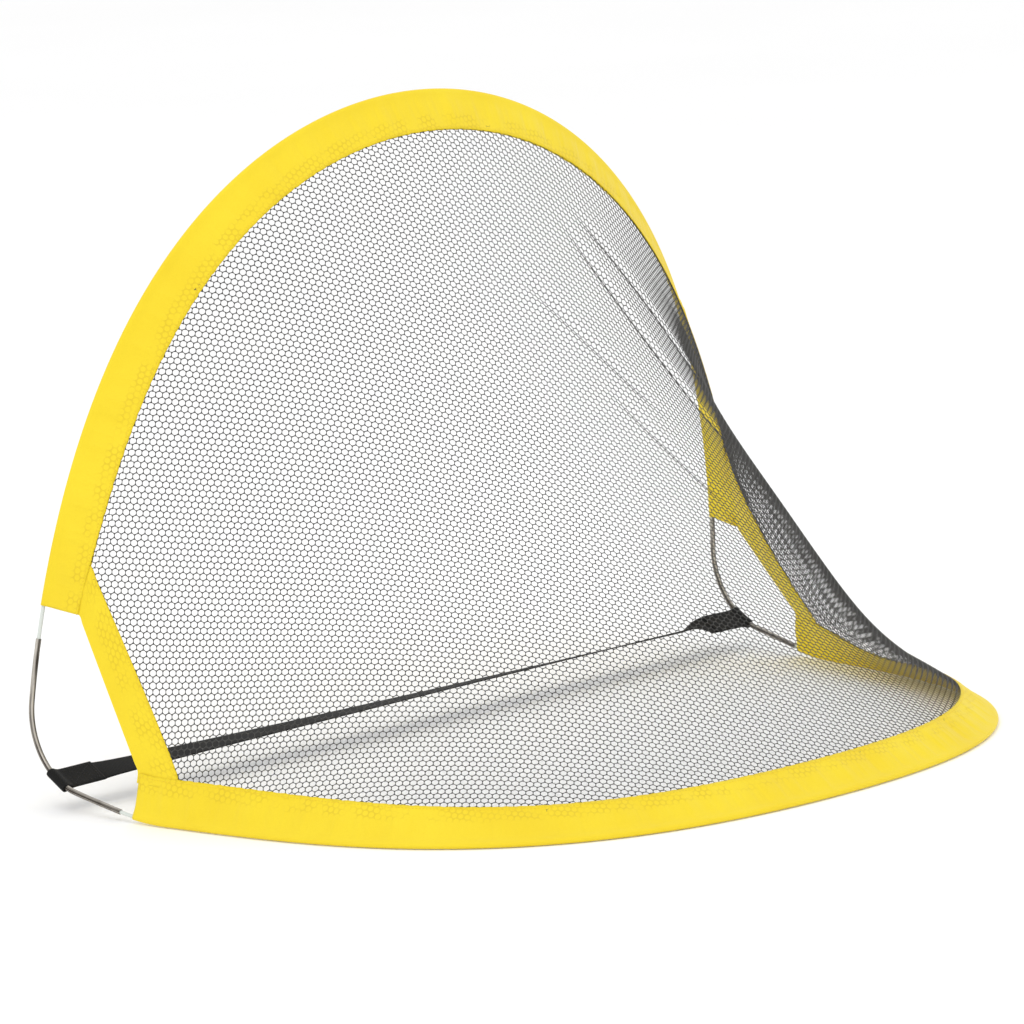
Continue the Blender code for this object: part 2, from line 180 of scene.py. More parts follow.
def mirrored(points):
    return points * np.array([-1.0, 1.0, 1.0])


def square_to(directions, along):
    """Unit directions with what runs along the line taken out."""
    return unit(directions - (directions * along).sum(axis=-1, keepdims=True) * along)


ELBOW, BASE = elbow_line(), base_line()
ARCH = arch_line(ELBOW)
PACKED_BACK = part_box("base_sleeve")[1].y
TO_ORIGIN = np.array([0.0, PACKED_BACK - BASE[:, 1].max() - POCKET_OUTER,
                      POCKET_OUTER * cos(REST_HALF_ANGLE)])
ELBOW, BASE, ARCH = ELBOW + TO_ORIGIN, BASE + TO_ORIGIN, ARCH + TO_ORIGIN


# ---- The lie of the cloth ----

def even_net(base_hem, arch_hem):
    """Knots of a stretched net: each at the weighted mean of its four neighbours, less its weight's sag."""
    columns, rows = NET_COLUMNS, NET_ROWS
    share = np.linspace(0.0, 1.0, rows + 1)[None, :, None]
    knots = base_hem[:, None] * (1 - share) + arch_hem[:, None] * share
    inner = np.zeros(knots.shape[:2], bool)
    inner[1:-1, 1:-1] = True
    number = -np.ones(knots.shape[:2], int)
    number[inner] = np.arange(inner.sum())
    spans = (distances(base_hem) + distances(arch_hem)) / 2
    pull_along = np.diff(spans).mean() / np.diff(spans) * NET_TENSION_ALONG
    matrix = np.zeros((inner.sum(), inner.sum()))
    pulls = np.tile([0.0, 0.0, -NET_WEIGHT], (inner.sum(), 1))
    column, row = np.nonzero(inner)
    here = number[column, row]
    sides = (
        (column - 1, row, pull_along[column - 1]),
        (column + 1, row, pull_along[column]),
        (column, row - 1, np.ones(len(row))),
        (column, row + 1, np.ones(len(row))),
    )
    for beside, level, pull in sides:
        matrix[here, here] += pull
        there = number[beside, level]
        free = there >= 0
        matrix[here[free], there[free]] -= pull[free]
        pulls[here[~free]] += (pull[:, None] * knots[beside, level])[~free]
    knots[inner] = np.linalg.solve(matrix, pulls)
    return knots


def eased(values, rounds):
    """Values along a line, evened out with their neighbours."""
    for _ in range(rounds):
        values = np.vstack([values[:1], (values[:-2] + 2 * values[1:-1] + values[2:]) / 4, values[-1:]])
    return values


def net_stations(line):
    """Distances along a sleeve's line of the net's columns: one at each band's inner edge, the rest even."""
    whole = distances(line)[-1]
    return np.concatenate([[0.0], np.linspace(BAND_WIDTH, whole - BAND_WIDTH, NET_COLUMNS - 1), [whole]])


def cloth(base_sleeve, arch_sleeve):
    """(knots, base directions, arch directions): the net and the way the two sleeves lie, found together.

    Each sleeve turns about its rod towards the net's first row. Near its left end the base sleeve droops: a bell
    curve along it is taken off the rise of its direction.
    """
    base = places(base_sleeve, net_stations(base_sleeve))
    arch = places(arch_sleeve, net_stations(arch_sleeve))
    base_way = square_to(arch - base, tangents(base))
    arch_way = square_to(base - arch, tangents(arch))
    droop = np.ones((len(base), 3))
    droop[:, 2] -= HEM_DROOP * np.exp(-(((distances(base) - HEM_DROOP_PLACE) / HEM_DROOP_REACH) ** 2))
    reach = SLEEVE_WIDTH + SEAM_GAP
    for _ in range(CLOTH_ROUNDS):
        knots = even_net(base + reach * base_way, arch + reach * arch_way)
        base_way = eased(square_to(knots[:, 1] - base, tangents(base)), EASE_ROUNDS)
        base_way = square_to(base_way, tangents(base))
        base_way = square_to(base_way * droop, tangents(base))
        arch_way = eased(square_to(knots[:, -2] - arch, tangents(arch)), EASE_ROUNDS)
        arch_way = square_to(arch_way, tangents(arch))
    return even_net(base + reach * base_way, arch + reach * arch_way), base_way, arch_way


BASE_SLEEVE = stretch(BASE, BASE_SLEEVE_ENDS[0], distances(BASE)[-1] - BASE_SLEEVE_ENDS[1])
ARCH_SLEEVE = stretch(ARCH, ARCH_SLEEVE_ENDS[0], distances(ARCH)[-1] - ARCH_SLEEVE_ENDS[1])
KNOTS, BASE_WAYS, ARCH_WAYS = cloth(BASE_SLEEVE, ARCH_SLEEVE)


def taps(value, count):
    """Four neighbouring indices, in a grid with one more line at each side, and their Catmull-Rom weights."""
    first = np.clip(np.floor(value), 0, count - 2).astype(int)
    f = value - first
    weights = np.stack([
        ((2 - f) * f - 1) * f / 2,
        ((3 * f - 5) * f * f + 2) / 2,
        ((4 - 3 * f) * f + 1) * f / 2,
        (f - 1) * f * f / 2,
    ])
    return first[None] + np.arange(4).reshape((4,) + (1,) * np.ndim(value)), weights


def edged(grid):
    """The grid with one more line of points beyond each of its sides, straight on."""
    for axis in (0, 1):
        grid = np.moveaxis(grid, axis, 0)
        grid = np.concatenate([2 * grid[:1] - grid[1:2], grid, 2 * grid[-1:] - grid[-2:-1]])
        grid = np.moveaxis(grid, 0, axis)
    return grid


def smooth_place(grid, column, row):
    """Points of the smooth surface through a grid that edged() made, at fractional columns and rows."""
    across, across_weights = taps(column, grid.shape[0] - 2)
    up, up_weights = taps(row, grid.shape[1] - 2)
    found = 0.0
    for a in range(4):
        for b in range(4):
            found = found + (across_weights[a] * up_weights[b])[..., None] * grid[across[a], up[b]]
    return found


def ways_along(line, ways, wanted):
    """Hem directions at the wanted distances along a sleeve's line, smooth between the net's columns."""
    columns = np.interp(wanted, net_stations(line), np.arange(NET_COLUMNS + 1))
    grid = edged(np.repeat(ways[:, None], 2, axis=1))
    return unit(smooth_place(grid, columns, np.zeros_like(columns)))


# ---- Meshes ----

def build(name, points, faces, uv=None):
    """A mesh object from points and arrays of faces. uv is one pair for each point, in metres."""
    mesh = bpy.data.meshes.new(name)
    corners = np.concatenate([group.ravel() for group in faces]).astype(np.int32)
    sizes = np.concatenate([np.full(len(group), group.shape[1]) for group in faces])
    starts = np.concatenate([[0], np.cumsum(sizes)[:-1]]).astype(np.int32)
    mesh.vertices.add(len(points))
    mesh.vertices.foreach_set("co", np.asarray(points, np.float32).ravel())
    mesh.loops.add(len(corners))
    mesh.loops.foreach_set("vertex_index", corners)
    mesh.polygons.add(len(sizes))
    mesh.polygons.foreach_set("loop_start", starts)
    mesh.polygons.foreach_set("use_smooth", np.ones(len(sizes), bool))
    if uv is not None:
        layer = mesh.uv_layers.new(name="UVMap")
        layer.data.foreach_set("uv", np.asarray(uv, np.float32)[corners].ravel())
    mesh.update(calc_edges=True)
    made = bpy.data.objects.new(name, mesh)
    bpy.context.scene.collection.objects.link(made)
    return made


def cells(columns, rows, wrap=False, turned=False, first=0):
    """Quads between the points of a grid numbered row by row within each column."""
    column = np.arange(columns - 1)[:, None] * rows
    row = np.arange(rows if wrap else rows - 1)[None, :]
    after = (row + 1) % rows
    quads = np.stack([column + row, column + rows + row, column + rows + after, column + after], axis=-1)
    quads = quads.reshape(-1, 4) + first
    return quads[:, ::-1] if turned else quads


def grid_normals(grid):
    return unit(np.cross(np.gradient(grid, axis=0), np.gradient(grid, axis=1)))


def shell(name, centre, thickness, uv):
    """A sheet as a closed shell: its middle surface moved out by half the thickness each way, and rims."""
    columns, rows = centre.shape[:2]
    half = np.broadcast_to(np.asarray(thickness) / 2, (columns, rows))[..., None] * grid_normals(centre)
    points = np.concatenate([(centre + half).reshape(-1, 3), (centre - half).reshape(-1, 3)])
    count = columns * rows
    number = np.arange(count).reshape(columns, rows)
    rim = np.concatenate([number[0, :-1], number[:-1, -1], number[-1, :0:-1], number[:0:-1, 0]])
    after = np.roll(rim, -1)
    sides = np.stack([rim, after, after + count, rim + count], axis=1)
    faces = [cells(columns, rows), cells(columns, rows, turned=True, first=count), sides]
    return build(name, points, faces, np.tile(uv.reshape(-1, 2), (2, 1)))


def rings(line, radii, sides, reference):
    """Circles round a line: a grid of one circle per point, counted round from the reference direction."""
    along = tangents(line)
    up = square_to(np.broadcast_to(np.asarray(reference, float), line.shape), along)
    out = np.cross(along, up)
    turn = np.linspace(0.0, 2 * pi, sides, endpoint=False)[None, :, None]
    radii = np.broadcast_to(np.asarray(radii), (len(line),))[:, None, None]
    return line[:, None] + radii * (np.cos(turn) * up[:, None] + np.sin(turn) * out[:, None])


def ring_uv(line, radius, sides):
    around = np.linspace(0.0, 2 * pi * radius, sides)
    return np.stack(np.broadcast_arrays(distances(line)[:, None], around[None]), axis=-1)


def solid_rod(name, line, radii, sides, reference):
    """A round bar along a line, with its ends closed by fans to their middles."""
    grid = rings(line, radii, sides, reference)
    points = np.concatenate([grid.reshape(-1, 3), line[:1], line[-1:]])
    count, last = grid.shape[0] * sides, (len(line) - 1) * sides
    ring = np.arange(sides)
    beside = (ring + 1) % sides
    start = np.stack([np.full(sides, count), ring, beside], axis=1)
    end = np.stack([np.full(sides, count + 1), beside + last, ring + last], axis=1)
    uv = np.concatenate([ring_uv(line, radii.max(), sides).reshape(-1, 2), np.zeros((2, 2))])
    return build(name, points, [cells(len(line), sides, wrap=True), start, end], uv)


def pipe(name, line, outer, inner, sides, reference):
    """A round pipe along a line: an outer and an inner wall, joined at the two mouths."""
    grids = [rings(line, outer, sides, reference), rings(line, inner, sides, reference)]
    points = np.concatenate([grid.reshape(-1, 3) for grid in grids])
    count, last = len(line) * sides, (len(line) - 1) * sides
    ring = np.arange(sides)
    beside = (ring + 1) % sides
    near = np.stack([ring, beside, beside + count, ring + count], axis=1)
    far = np.stack([beside, ring, ring + count, beside + count], axis=1) + last
    walls = [cells(len(line), sides, wrap=True), cells(len(line), sides, wrap=True, turned=True, first=count)]
    uv = np.tile(ring_uv(line, outer.max(), sides).reshape(-1, 2), (2, 1))
    return build(name, points, [*walls, near, far], uv)


STITCH_SIDES = 5
STITCH_BELLY = 0.24      # from a stitch's middle to where it starts to taper, as a share of its length
STITCH_HEIGHT = 0.7      # against its width
STITCH_DIP = 0.8         # how far its ends go down into the cloth, in radii


def stitch_row(centres, along, up, length, radius):
    """(points, faces) of stitches along a seam: each a lens, with two five-sided rings between two points."""
    across = np.cross(up, along)
    turn = np.linspace(0.0, 2 * pi, STITCH_SIDES, endpoint=False)[:, None, None]
    ring = radius * (np.cos(turn) * across + STITCH_HEIGHT * np.sin(turn) * up)
    dip = radius * STITCH_DIP * up
    ends = np.stack([centres - length / 2 * along - dip, centres + length / 2 * along - dip])
    belly = length * STITCH_BELLY * along
    points = np.concatenate([ends, centres - belly + ring, centres + belly + ring]).transpose(1, 0, 2)
    k = np.arange(STITCH_SIDES)
    n = (k + 1) % STITCH_SIDES
    low, high = 2, 2 + STITCH_SIDES
    fans = np.concatenate([
        np.stack([np.zeros_like(k), low + n, low + k], axis=1),
        np.stack([np.ones_like(k), high + k, high + n], axis=1),
    ])
    bands = np.stack([low + k, low + n, high + n, high + k], axis=1)
    first = len(points[0]) * np.arange(len(centres))[:, None, None]
    return points.reshape(-1, 3), [(fans + first).reshape(-1, 3), (bands + first).reshape(-1, 4)]


def stitches(name, rows):
    """One object from several rows of stitches."""
    points, faces, count = [], [], 0
    for row_points, row_faces in rows:
        points.append(row_points)
        faces += [group + count for group in row_faces]
        count += len(row_points)
    return build(name, np.concatenate(points), faces)


def wander(along, *waves):
    """A sum of sine waves along a seam, each given as (wavelength, phase), scaled to about -1 to 1."""
    return sum(np.sin(2 * pi * along / length + phase) for length, phase in waves) / len(waves) ** 0.75


# ---- Materials ----

class Shade:
    """A socket among a material's nodes. Arithmetic on it adds Math nodes, and node() adds any other."""

    def __init__(self, tree, socket=None):
        self.tree, self.socket = tree, socket

    def node(self, kind, settings=None, inputs=None, out=0):
        made = self.tree.nodes.new("ShaderNode" + kind)
        for name, value in (settings or {}).items():
            if name == "stops":
                for element, (place, colour) in zip(made.color_ramp.elements, value):
                    element.position, element.color = place, (*colour, 1.0)
            else:
                setattr(made, name, value)
        for key, value in (inputs or {}).items():
            if isinstance(value, Shade):
                self.tree.links.new(value.socket, made.inputs[key])
            else:
                made.inputs[key].default_value = value
        return Shade(self.tree, made.outputs[out])

    def maths(self, operation, *values):
        return self.node("Math", {"operation": operation}, dict(enumerate(values)))

    def __add__(self, other):
        return self.maths("ADD", self, other)

    def __sub__(self, other):
        return self.maths("SUBTRACT", self, other)

    def __rsub__(self, other):
        return self.maths("SUBTRACT", other, self)

    def __mul__(self, other):
        return self.maths("MULTIPLY", self, other)

    def __abs__(self):
        return self.maths("ABSOLUTE", self)

    __radd__, __rmul__ = __add__, __mul__

    def cos(self):
        return self.maths("COSINE", self)

    def step(self, low, high):
        """0 below low, 1 above high and smooth between. With low above high it falls instead."""
        settings = {"interpolation_type": "SMOOTHSTEP"}
        if low < high:
            return self.node("MapRange", settings, {"Value": self, "From Min": low, "From Max": high})
        return 1 - self.node("MapRange", settings, {"Value": self, "From Min": high, "From Max": low})

    def mix(self, first, second):
        """A colour from first to second, with this socket as the share."""
        inputs = {0: self, 6: first, 7: second}
        for key in (6, 7):
            if not isinstance(inputs[key], Shade):
                inputs[key] = (*inputs[key], 1.0)
        return self.node("Mix", {"data_type": "RGBA"}, inputs, 2)

    def noise(self, vector, scale, detail=3.0, roughness=0.55):
        inputs = {"Vector": vector, "Scale": scale, "Detail": detail, "Roughness": roughness}
        return self.node("TexNoise", None, inputs)

    def bump(self, distance, strength=1.0, normal=None):
        inputs = {"Height": self, "Distance": distance, "Strength": strength}
        if normal is not None:
            inputs["Normal"] = normal
        return self.node("Bump", None, inputs)


def fresh_material(name):
    """(material, shader, a Shade to start from, object coordinates, along, across), the last two in metres"""
    made = bpy.data.materials.new(name)
    made.use_nodes = True
    tree = made.node_tree
    start = Shade(tree)
    place = start.node("TexCoord", out=3)
    uv = start.node("UVMap", {"uv_map": "UVMap"})
    along = start.node("SeparateXYZ", None, {0: uv}, 0)
    across = start.node("SeparateXYZ", None, {0: uv}, 1)
    return made, tree.nodes["Principled BSDF"], start, place, along, across


def wire_up(shader, links, constants):
    for name, value in links.items():
        value.tree.links.new(value.socket, shader.inputs[name])
    for name, value in constants.items():
        shader.inputs[name].default_value = value


PRESSED_TILT = 0.35      # radians, of the pressed mesh against the hem


def mesh_shadow(along, across, pitch):
    """1 on the threads of a six-sided mesh and 0 in its holes: three crossed cosine waves, cut at a level."""
    reach = 2 * pi * 2 / (pitch * 3**0.5)
    waves = 0.0
    for third in range(3):
        angle = PRESSED_TILT + third * pi / 3
        waves = waves + (along * (reach * cos(angle)) + across * (reach * sin(angle))).cos()
    return waves.step(-0.35, -1.0)


def yellow_cloth(name, looks, mesh_reach):
    """Plain-woven polyester, with the net that lies between its two layers pressing through near the hem."""
    made, shader, start, place, along, across = fresh_material(name)
    thread = 2 * pi / looks.cloth_thread
    weave = (along * thread).cos() * (across * thread).cos()
    slub = start.noise(place, 900.0, 2.0)
    patch = start.noise(place, 9.0, 3.0)
    worn = start.noise(place, 55.0, 2.0).step(0.34, 0.6)
    press = mesh_shadow(along, across, looks.mesh_pitch) * across.step(mesh_reach, mesh_reach * 0.7) * worn
    edge = across.step(0.0022, 0.0004)
    colour = (patch * 0.5 + slub * 0.25).step(0.2, 0.62).mix(looks.yellow_deep, looks.yellow)
    colour = (press * 0.5).mix(colour, looks.yellow_pressed)
    colour = (edge * 0.35).mix(colour, looks.yellow_deep)
    rough = 0.58 + slub * 0.18 + edge * 0.1
    fine = weave.bump(0.00006, 0.5)
    pressed = (press * 0.6 + slub * 0.25).bump(0.00022, 0.7, fine)
    wire_up(shader, {"Base Color": colour, "Roughness": rough, "Normal": pressed},
            {"Sheen Weight": 0.12, "Sheen Roughness": 0.4, "Specular IOR Level": 0.3})
    return made


def plain_thread(name, light, dark):
    """Sewing thread or yarn: a fine fuzz of fibres over a colour that wanders a little, with painted shade in
    the dips of the fuzz.
    """
    made, shader, start, place, _, _ = fresh_material(name)
    fuzz = start.noise(place, 2600.0, 3.0)
    patch = start.noise(place, 14.0, 2.0)
    # Painted shade: the colour follows the fuzz's bump, darker in its dips, with a random patch mixed in
    colour = (fuzz * 0.7 + patch * 0.3).step(0.25, 0.75).mix(dark, light)
    rough = 0.62 + fuzz * 0.25
    wire_up(shader, {"Base Color": colour, "Roughness": rough, "Normal": fuzz.bump(0.00012, 0.8)},
            {"Sheen Weight": 0.1, "Specular IOR Level": 0.3})
    return made


def webbing_cloth(name, looks):
    """Ribbed webbing: rows of small oval floats across the strap, every other row set off by half a step, with
    painted shade where the weave and its fuzz dip.
    """
    made, shader, start, place, along, across = fresh_material(name)
    rib = 2 * pi / looks.webbing_rib
    rows = (across * (rib * 0.5)).cos()
    floats = (along * rib + rows.step(-0.02, 0.02) * pi).cos()
    ridge = rows * rows
    fuzz = start.noise(place, 1500.0, 3.0)
    wear = start.noise(place, 30.0, 3.0).step(0.52, 0.75)
    height = floats * 0.5 * ridge + ridge * 0.5
    # Painted shade: the strap is darker where its weave dips between the ribs and in the dips of its fuzz
    share = height.step(-0.3, 0.9) * 0.55 + fuzz * 0.45
    colour = share.mix(looks.webbing_painted_shade, looks.webbing)
    colour = (wear * 0.3).mix(colour, looks.webbing_worn)
    woven = fuzz.bump(0.00008, 0.6, height.bump(0.00028, 0.8))
    wire_up(shader, {"Base Color": colour, "Roughness": 0.66 + fuzz * 0.2, "Normal": woven},
            {"Sheen Weight": 0.03, "Specular IOR Level": 0.2})
    return made


def brushed_steel(name, looks):
    """Drawn steel: hair lines along the tube, wide dark streaks along it that are painted reflections, and a
    duller band under the strap.
    """
    made, shader, start, place, along, across = fresh_material(name)
    grain = start.node("CombineXYZ", None, {0: along * 40.0, 1: across * 5200.0, 2: 0.0})
    hair = start.noise(grain, 1.0, 4.0, 0.7)
    patch = start.noise(place, 60.0, 3.0)
    rubbed = abs(along - STRAP_PLACE).step(0.016, 0.011)
    # Painted reflections: wide dark and light streaks along the tube, mixed with its real hair lines and patches
    wide = start.node("CombineXYZ", None, {0: along * 7.0, 1: across * 260.0, 2: 0.0})
    painted_reflection_streak = start.noise(wide, 1.0, 2.0, 0.5)
    colour = (painted_reflection_streak * 0.7 + hair * 0.2 + patch * 0.1).step(0.40, 0.60).mix(looks.steel_reflection_and_grain_dark, looks.steel)
    rough = 0.2 + hair * 0.16 + patch * 0.08 + rubbed * 0.12
    wire_up(shader, {"Base Color": colour, "Roughness": rough, "Normal": hair.bump(0.00003, 0.5)},
            {"Metallic": 1.0})
    return made


def glass_rod(name, looks):
    """Pulled fibreglass: white, with faint long strands and a smooth resin skin."""
    made, shader, start, _, along, across = fresh_material(name)
    strands = start.node("CombineXYZ", None, {0: along * 25.0, 1: across * 2600.0, 2: 0.0})
    strand = start.noise(strands, 1.0, 3.0)
    colour = strand.step(0.3, 0.72).mix(looks.rod_dark, looks.rod)
    rough = 0.24 + strand * 0.16
    wire_up(shader, {"Base Color": colour, "Roughness": rough, "Normal": strand.bump(0.00003, 0.4)},
            {"Coat Weight": 0.25, "Coat Roughness": 0.2})
    return made


def once(make, name, *arguments):
    """The material of this name, made the first time it is asked for."""
    return bpy.data.materials.get(name) or make(name, *arguments)


def dress(obj, material):
    obj.data.materials.append(material)
    return obj


# ---- Settings ----

def length(name, description, default):
    return bpy.props.FloatProperty(name=name, description=description, default=default, unit="LENGTH",
                                   precision=5)


def colour(name, description, default):
    return bpy.props.FloatVectorProperty(name=name, description=description, default=default, size=3, min=0.0,
                                         max=1.0, subtype="COLOR")


class GoalSizes(bpy.types.PropertyGroup):
    """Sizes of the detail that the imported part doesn't hold."""

    mesh_pitch: length("Mesh pitch", "From hole to hole of the net", 0.0063)
    yarn_width: length("Yarn width", "Width of the net's finer yarns", 0.00054)
    yarn_width_main: length("Main yarn width", "Width of the yarns in the net's making direction", 0.00082)
    yarn_height: length("Yarn height", "Thickness of the net", 0.0009)
    cloth_thread: length("Cloth thread", "From thread to thread of the yellow cloth", 0.0006)
    cloth_thickness: length("Cloth thickness", "Thickness of one layer of the yellow cloth", 0.00035)
    stitch_pitch: length("Stitch pitch", "From stitch to stitch along a seam", 0.0032)
    webbing_rib: length("Webbing rib", "From rib to rib of the strap", 0.0016)


class GoalColours(bpy.types.PropertyGroup):
    """Colours of the finishes."""

    yellow: colour("Yellow", "Cloth where it is lightest", (0.885, 0.70, 0.026))
    yellow_deep: colour("Deep yellow", "Cloth where it is deepest", (0.82, 0.605, 0.015))
    yellow_pressed: colour("Pressed yellow", "Cloth over the threads of the net", (0.66, 0.46, 0.014))
    thread: colour("Yellow thread", "Sewing thread of the sleeves", (0.90, 0.66, 0.03))
    # Painted shade in the dips of the thread's fuzz, mixed with random tone
    thread_shade_and_tone: colour("Yellow thread, dark", "Sewing thread in its twist", (0.70, 0.48, 0.015))
    yarn: colour("Yarn", "Net yarn where it is lightest", (0.095, 0.093, 0.088))
    # Painted shade in the dips of the yarn's fuzz, mixed with random tone
    yarn_shade_and_tone: colour("Yarn, dark", "Net yarn in its twist", (0.026, 0.025, 0.023))
    webbing: colour("Webbing", "Strap where it is lightest", (0.009, 0.009, 0.0085))
    # Painted shade between the strap's ribs and in the dips of its fuzz
    webbing_painted_shade: colour("Webbing, dark", "Strap between its ribs", (0.003, 0.003, 0.003))
    webbing_worn: colour("Webbing, worn", "Strap where it has rubbed", (0.018, 0.0175, 0.016))
    # The tubes' light and dark streaks are painted reflections, mixed with the steel's own grain
    steel: colour("Steel", "Corner tubes where they are lightest", (0.60, 0.56, 0.50))
    steel_reflection_and_grain_dark: colour("Steel, dark", "Corner tubes in their dark streaks", (0.040, 0.032, 0.026))
    rod: colour("Rod", "Fibreglass rods", (0.70, 0.74, 0.70))
    rod_dark: colour("Rod strands", "Strands in the fibreglass", (0.58, 0.62, 0.58))
    floor: colour("Floor", "The studio floor", (1.0, 1.0, 1.0))


class Looks:
    """The sizes and colours in use, as plain numbers."""

    def __init__(self, scene):
        for group in (scene.goal_sizes, scene.goal_colours):
            for name in group.bl_rna.properties.keys():
                if name not in ("rna_type", "name"):
                    value = getattr(group, name)
                    setattr(self, name, value if isinstance(value, float) else tuple(value))


# ---- Transforms baked into the meshes ----


def flex_with_rod(obj):
    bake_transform(obj)


def flex_with_net(obj):
    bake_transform(obj)


# ---- Rods and tubes ----

ROD_SIDES, TUBE_SIDES = 18, 28
ROD_STEP = 0.002                             # from point to point of the arch rod
TIP_STEP, TIP_LENGTH = 0.0006, 0.0013        # from a rod's end to the next points, where it is drawn in
TIP_DEPTH, TIP_SHARE = 0.0012, 0.05          # over what length the rod is drawn in, and how far at most
MOUTH_STEPS = np.array([0.0, 0.0002, 0.0005, 0.001])
MOUTH_LENGTH, MOUTH_ROLL = 0.0016, 0.001
ROLL_OUTER, ROLL_INNER = 0.00022, 0.00008    # how far a rolled mouth's walls turn towards each other
CRIMPS = ((0.009, 1.0), (0.013, 0.8))        # each one's distance from the mouth, and share of the depth
CRIMP_REACH, CRIMP_DEPTH = 0.0012, 0.00016
TUBE_RINGS = 170


def drawn_in(line):
    """Radii along a rod: full, but drawn in as a square root over the last stretch at each end."""
    along = distances(line)
    from_end = np.minimum(along, along[-1] - along)
    return ROD_RADIUS * np.sqrt(np.clip(from_end / TIP_DEPTH, TIP_SHARE, 1.0))


def inserted(count):
    """Distances from a tube's mouth of the rod's points in it: even, then closer at the rod's end."""
    even = np.linspace(0, ROD_INSERT - TIP_LENGTH, count)
    return np.concatenate([even, [ROD_INSERT - TIP_STEP, ROD_INSERT]])


class GOAL_OT_rods(bpy.types.Operator):
    """Adds the base rod and the arch rod, each from deep in one corner tube to deep in the other"""

    bl_idname = "goal.rods"
    bl_label = "Rods"

    def execute(self, context):
        finish = once(glass_rod, "fibreglass_white", Looks(context.scene))
        lower = places(ELBOW, inserted(10))
        upper = places(ELBOW, distances(ELBOW)[-1] - inserted(14))
        base_free = stretch(BASE, ROD_STEP, distances(BASE)[-1] - ROD_STEP)
        arch_free = stretch(ARCH, 0.0, distances(ARCH)[-1], ROD_STEP)
        base = np.vstack([mirrored(lower)[::-1], base_free, lower])
        arch = np.vstack([mirrored(upper)[::-1], arch_free, upper])
        made = solid_rod("rod_of_base", base, drawn_in(base), ROD_SIDES, (0.0, 0.0, 1.0))
        dress(made, finish)
        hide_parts("base_rod")
        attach(made, "base")
        made = solid_rod("rod_of_arch", arch, drawn_in(arch), ROD_SIDES, (0.0, 1.0, 0.0))
        dress(made, finish)
        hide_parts("arch_rod", "arch_rod_tail_left", "arch_rod_tail_right")
        flex_with_rod(made)
        return {"FINISHED"}


class GOAL_OT_corner_tubes(bpy.types.Operator):
    """Adds the two bent steel tubes, with rolled mouths and a shallow crimp that grips each rod"""

    bl_idname = "goal.corner_tubes"
    bl_label = "Corner tubes"

    def execute(self, context):
        finish = once(brushed_steel, "steel_brushed", Looks(context.scene))
        whole = distances(ELBOW)[-1]
        middle = np.linspace(MOUTH_LENGTH, whole - MOUTH_LENGTH, TUBE_RINGS)
        line = places(ELBOW, np.concatenate([MOUTH_STEPS, middle, whole - MOUTH_STEPS[::-1]]))
        along = distances(line)
        from_end = np.minimum(along, along[-1] - along)
        crimp = sum(share * np.exp(-(((from_end - place) / CRIMP_REACH) ** 2)) for place, share in CRIMPS)
        rolled = 1 - np.clip(from_end / MOUTH_ROLL, 0.0, 1.0)
        outer = TUBE_RADIUS - CRIMP_DEPTH * crimp - ROLL_OUTER * rolled**2
        inner = TUBE_RADIUS - TUBE_WALL - CRIMP_DEPTH * crimp + ROLL_INNER * rolled
        for side, points in (("left", mirrored(line)), ("right", line)):
            made = pipe(f"tube_{side}", points, outer, inner, TUBE_SIDES, (1.0, 0.0, 0.0))
            dress(made, finish)
            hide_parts(f"corner_tube_{side}")
            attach(made, "base")
        return {"FINISHED"}


# ---- Sleeves and bands ----

HEM_HALF = 0.00075      # from the hem's middle to the middle of one layer, where the net lies between
FOLD_RADIUS = 0.0026    # from the rod's centre to the middle of the cloth that goes round it
FOLD_FADE = 0.0055
LEFT_TAIL = 0.025       # how far the arch sleeve reaches down over the left corner tube
HEM_TUCK = 0.0115       # how far the net and the bands reach in between a sleeve's layers
SWAY_LIFT, FINE_LIFT, EDGE_WANDER = 0.0013, 0.0004, 0.00035   # heights of a sleeve's puckers, and its edge's
LAYER_GAP, END_GAP, END_FADE = 0.0009, 0.0008, 0.02           # how far the layers part, also over the bands
BAND_LIFT, BAND_GAP = 0.0009, 0.0004
SEAM_INSET = 0.0030     # from a sleeve's hem to its seam
SEAM_LIFT = 0.00006     # of the thread over the cloth
STITCH_SHARE, STITCH_RADIUS = 0.78, 0.00030                   # a stitch's length against its pitch
SLEEVE_PRESS, BAND_PRESS = 0.0185, 0.034                      # how far from the hem the net presses through


def sleeve_section(reach, steps=20, turns=12):
    """(across, up, from the hem): half the section of a folded strip, from its hem to the top of its fold."""
    across = reach * (1 - np.linspace(0.0, 1.0, steps) ** 0.85)
    up = HEM_HALF + (FOLD_RADIUS - HEM_HALF) * np.exp(-((across / FOLD_FADE) ** 2))
    turn = np.linspace(0.0, pi / 2, turns + 1)[1:]
    across = np.concatenate([across, -FOLD_RADIUS * np.sin(turn)])
    up = np.concatenate([up, FOLD_RADIUS * np.cos(turn)])
    from_hem = distances(np.column_stack([across, up, 0 * up]))
    return across, up, from_hem


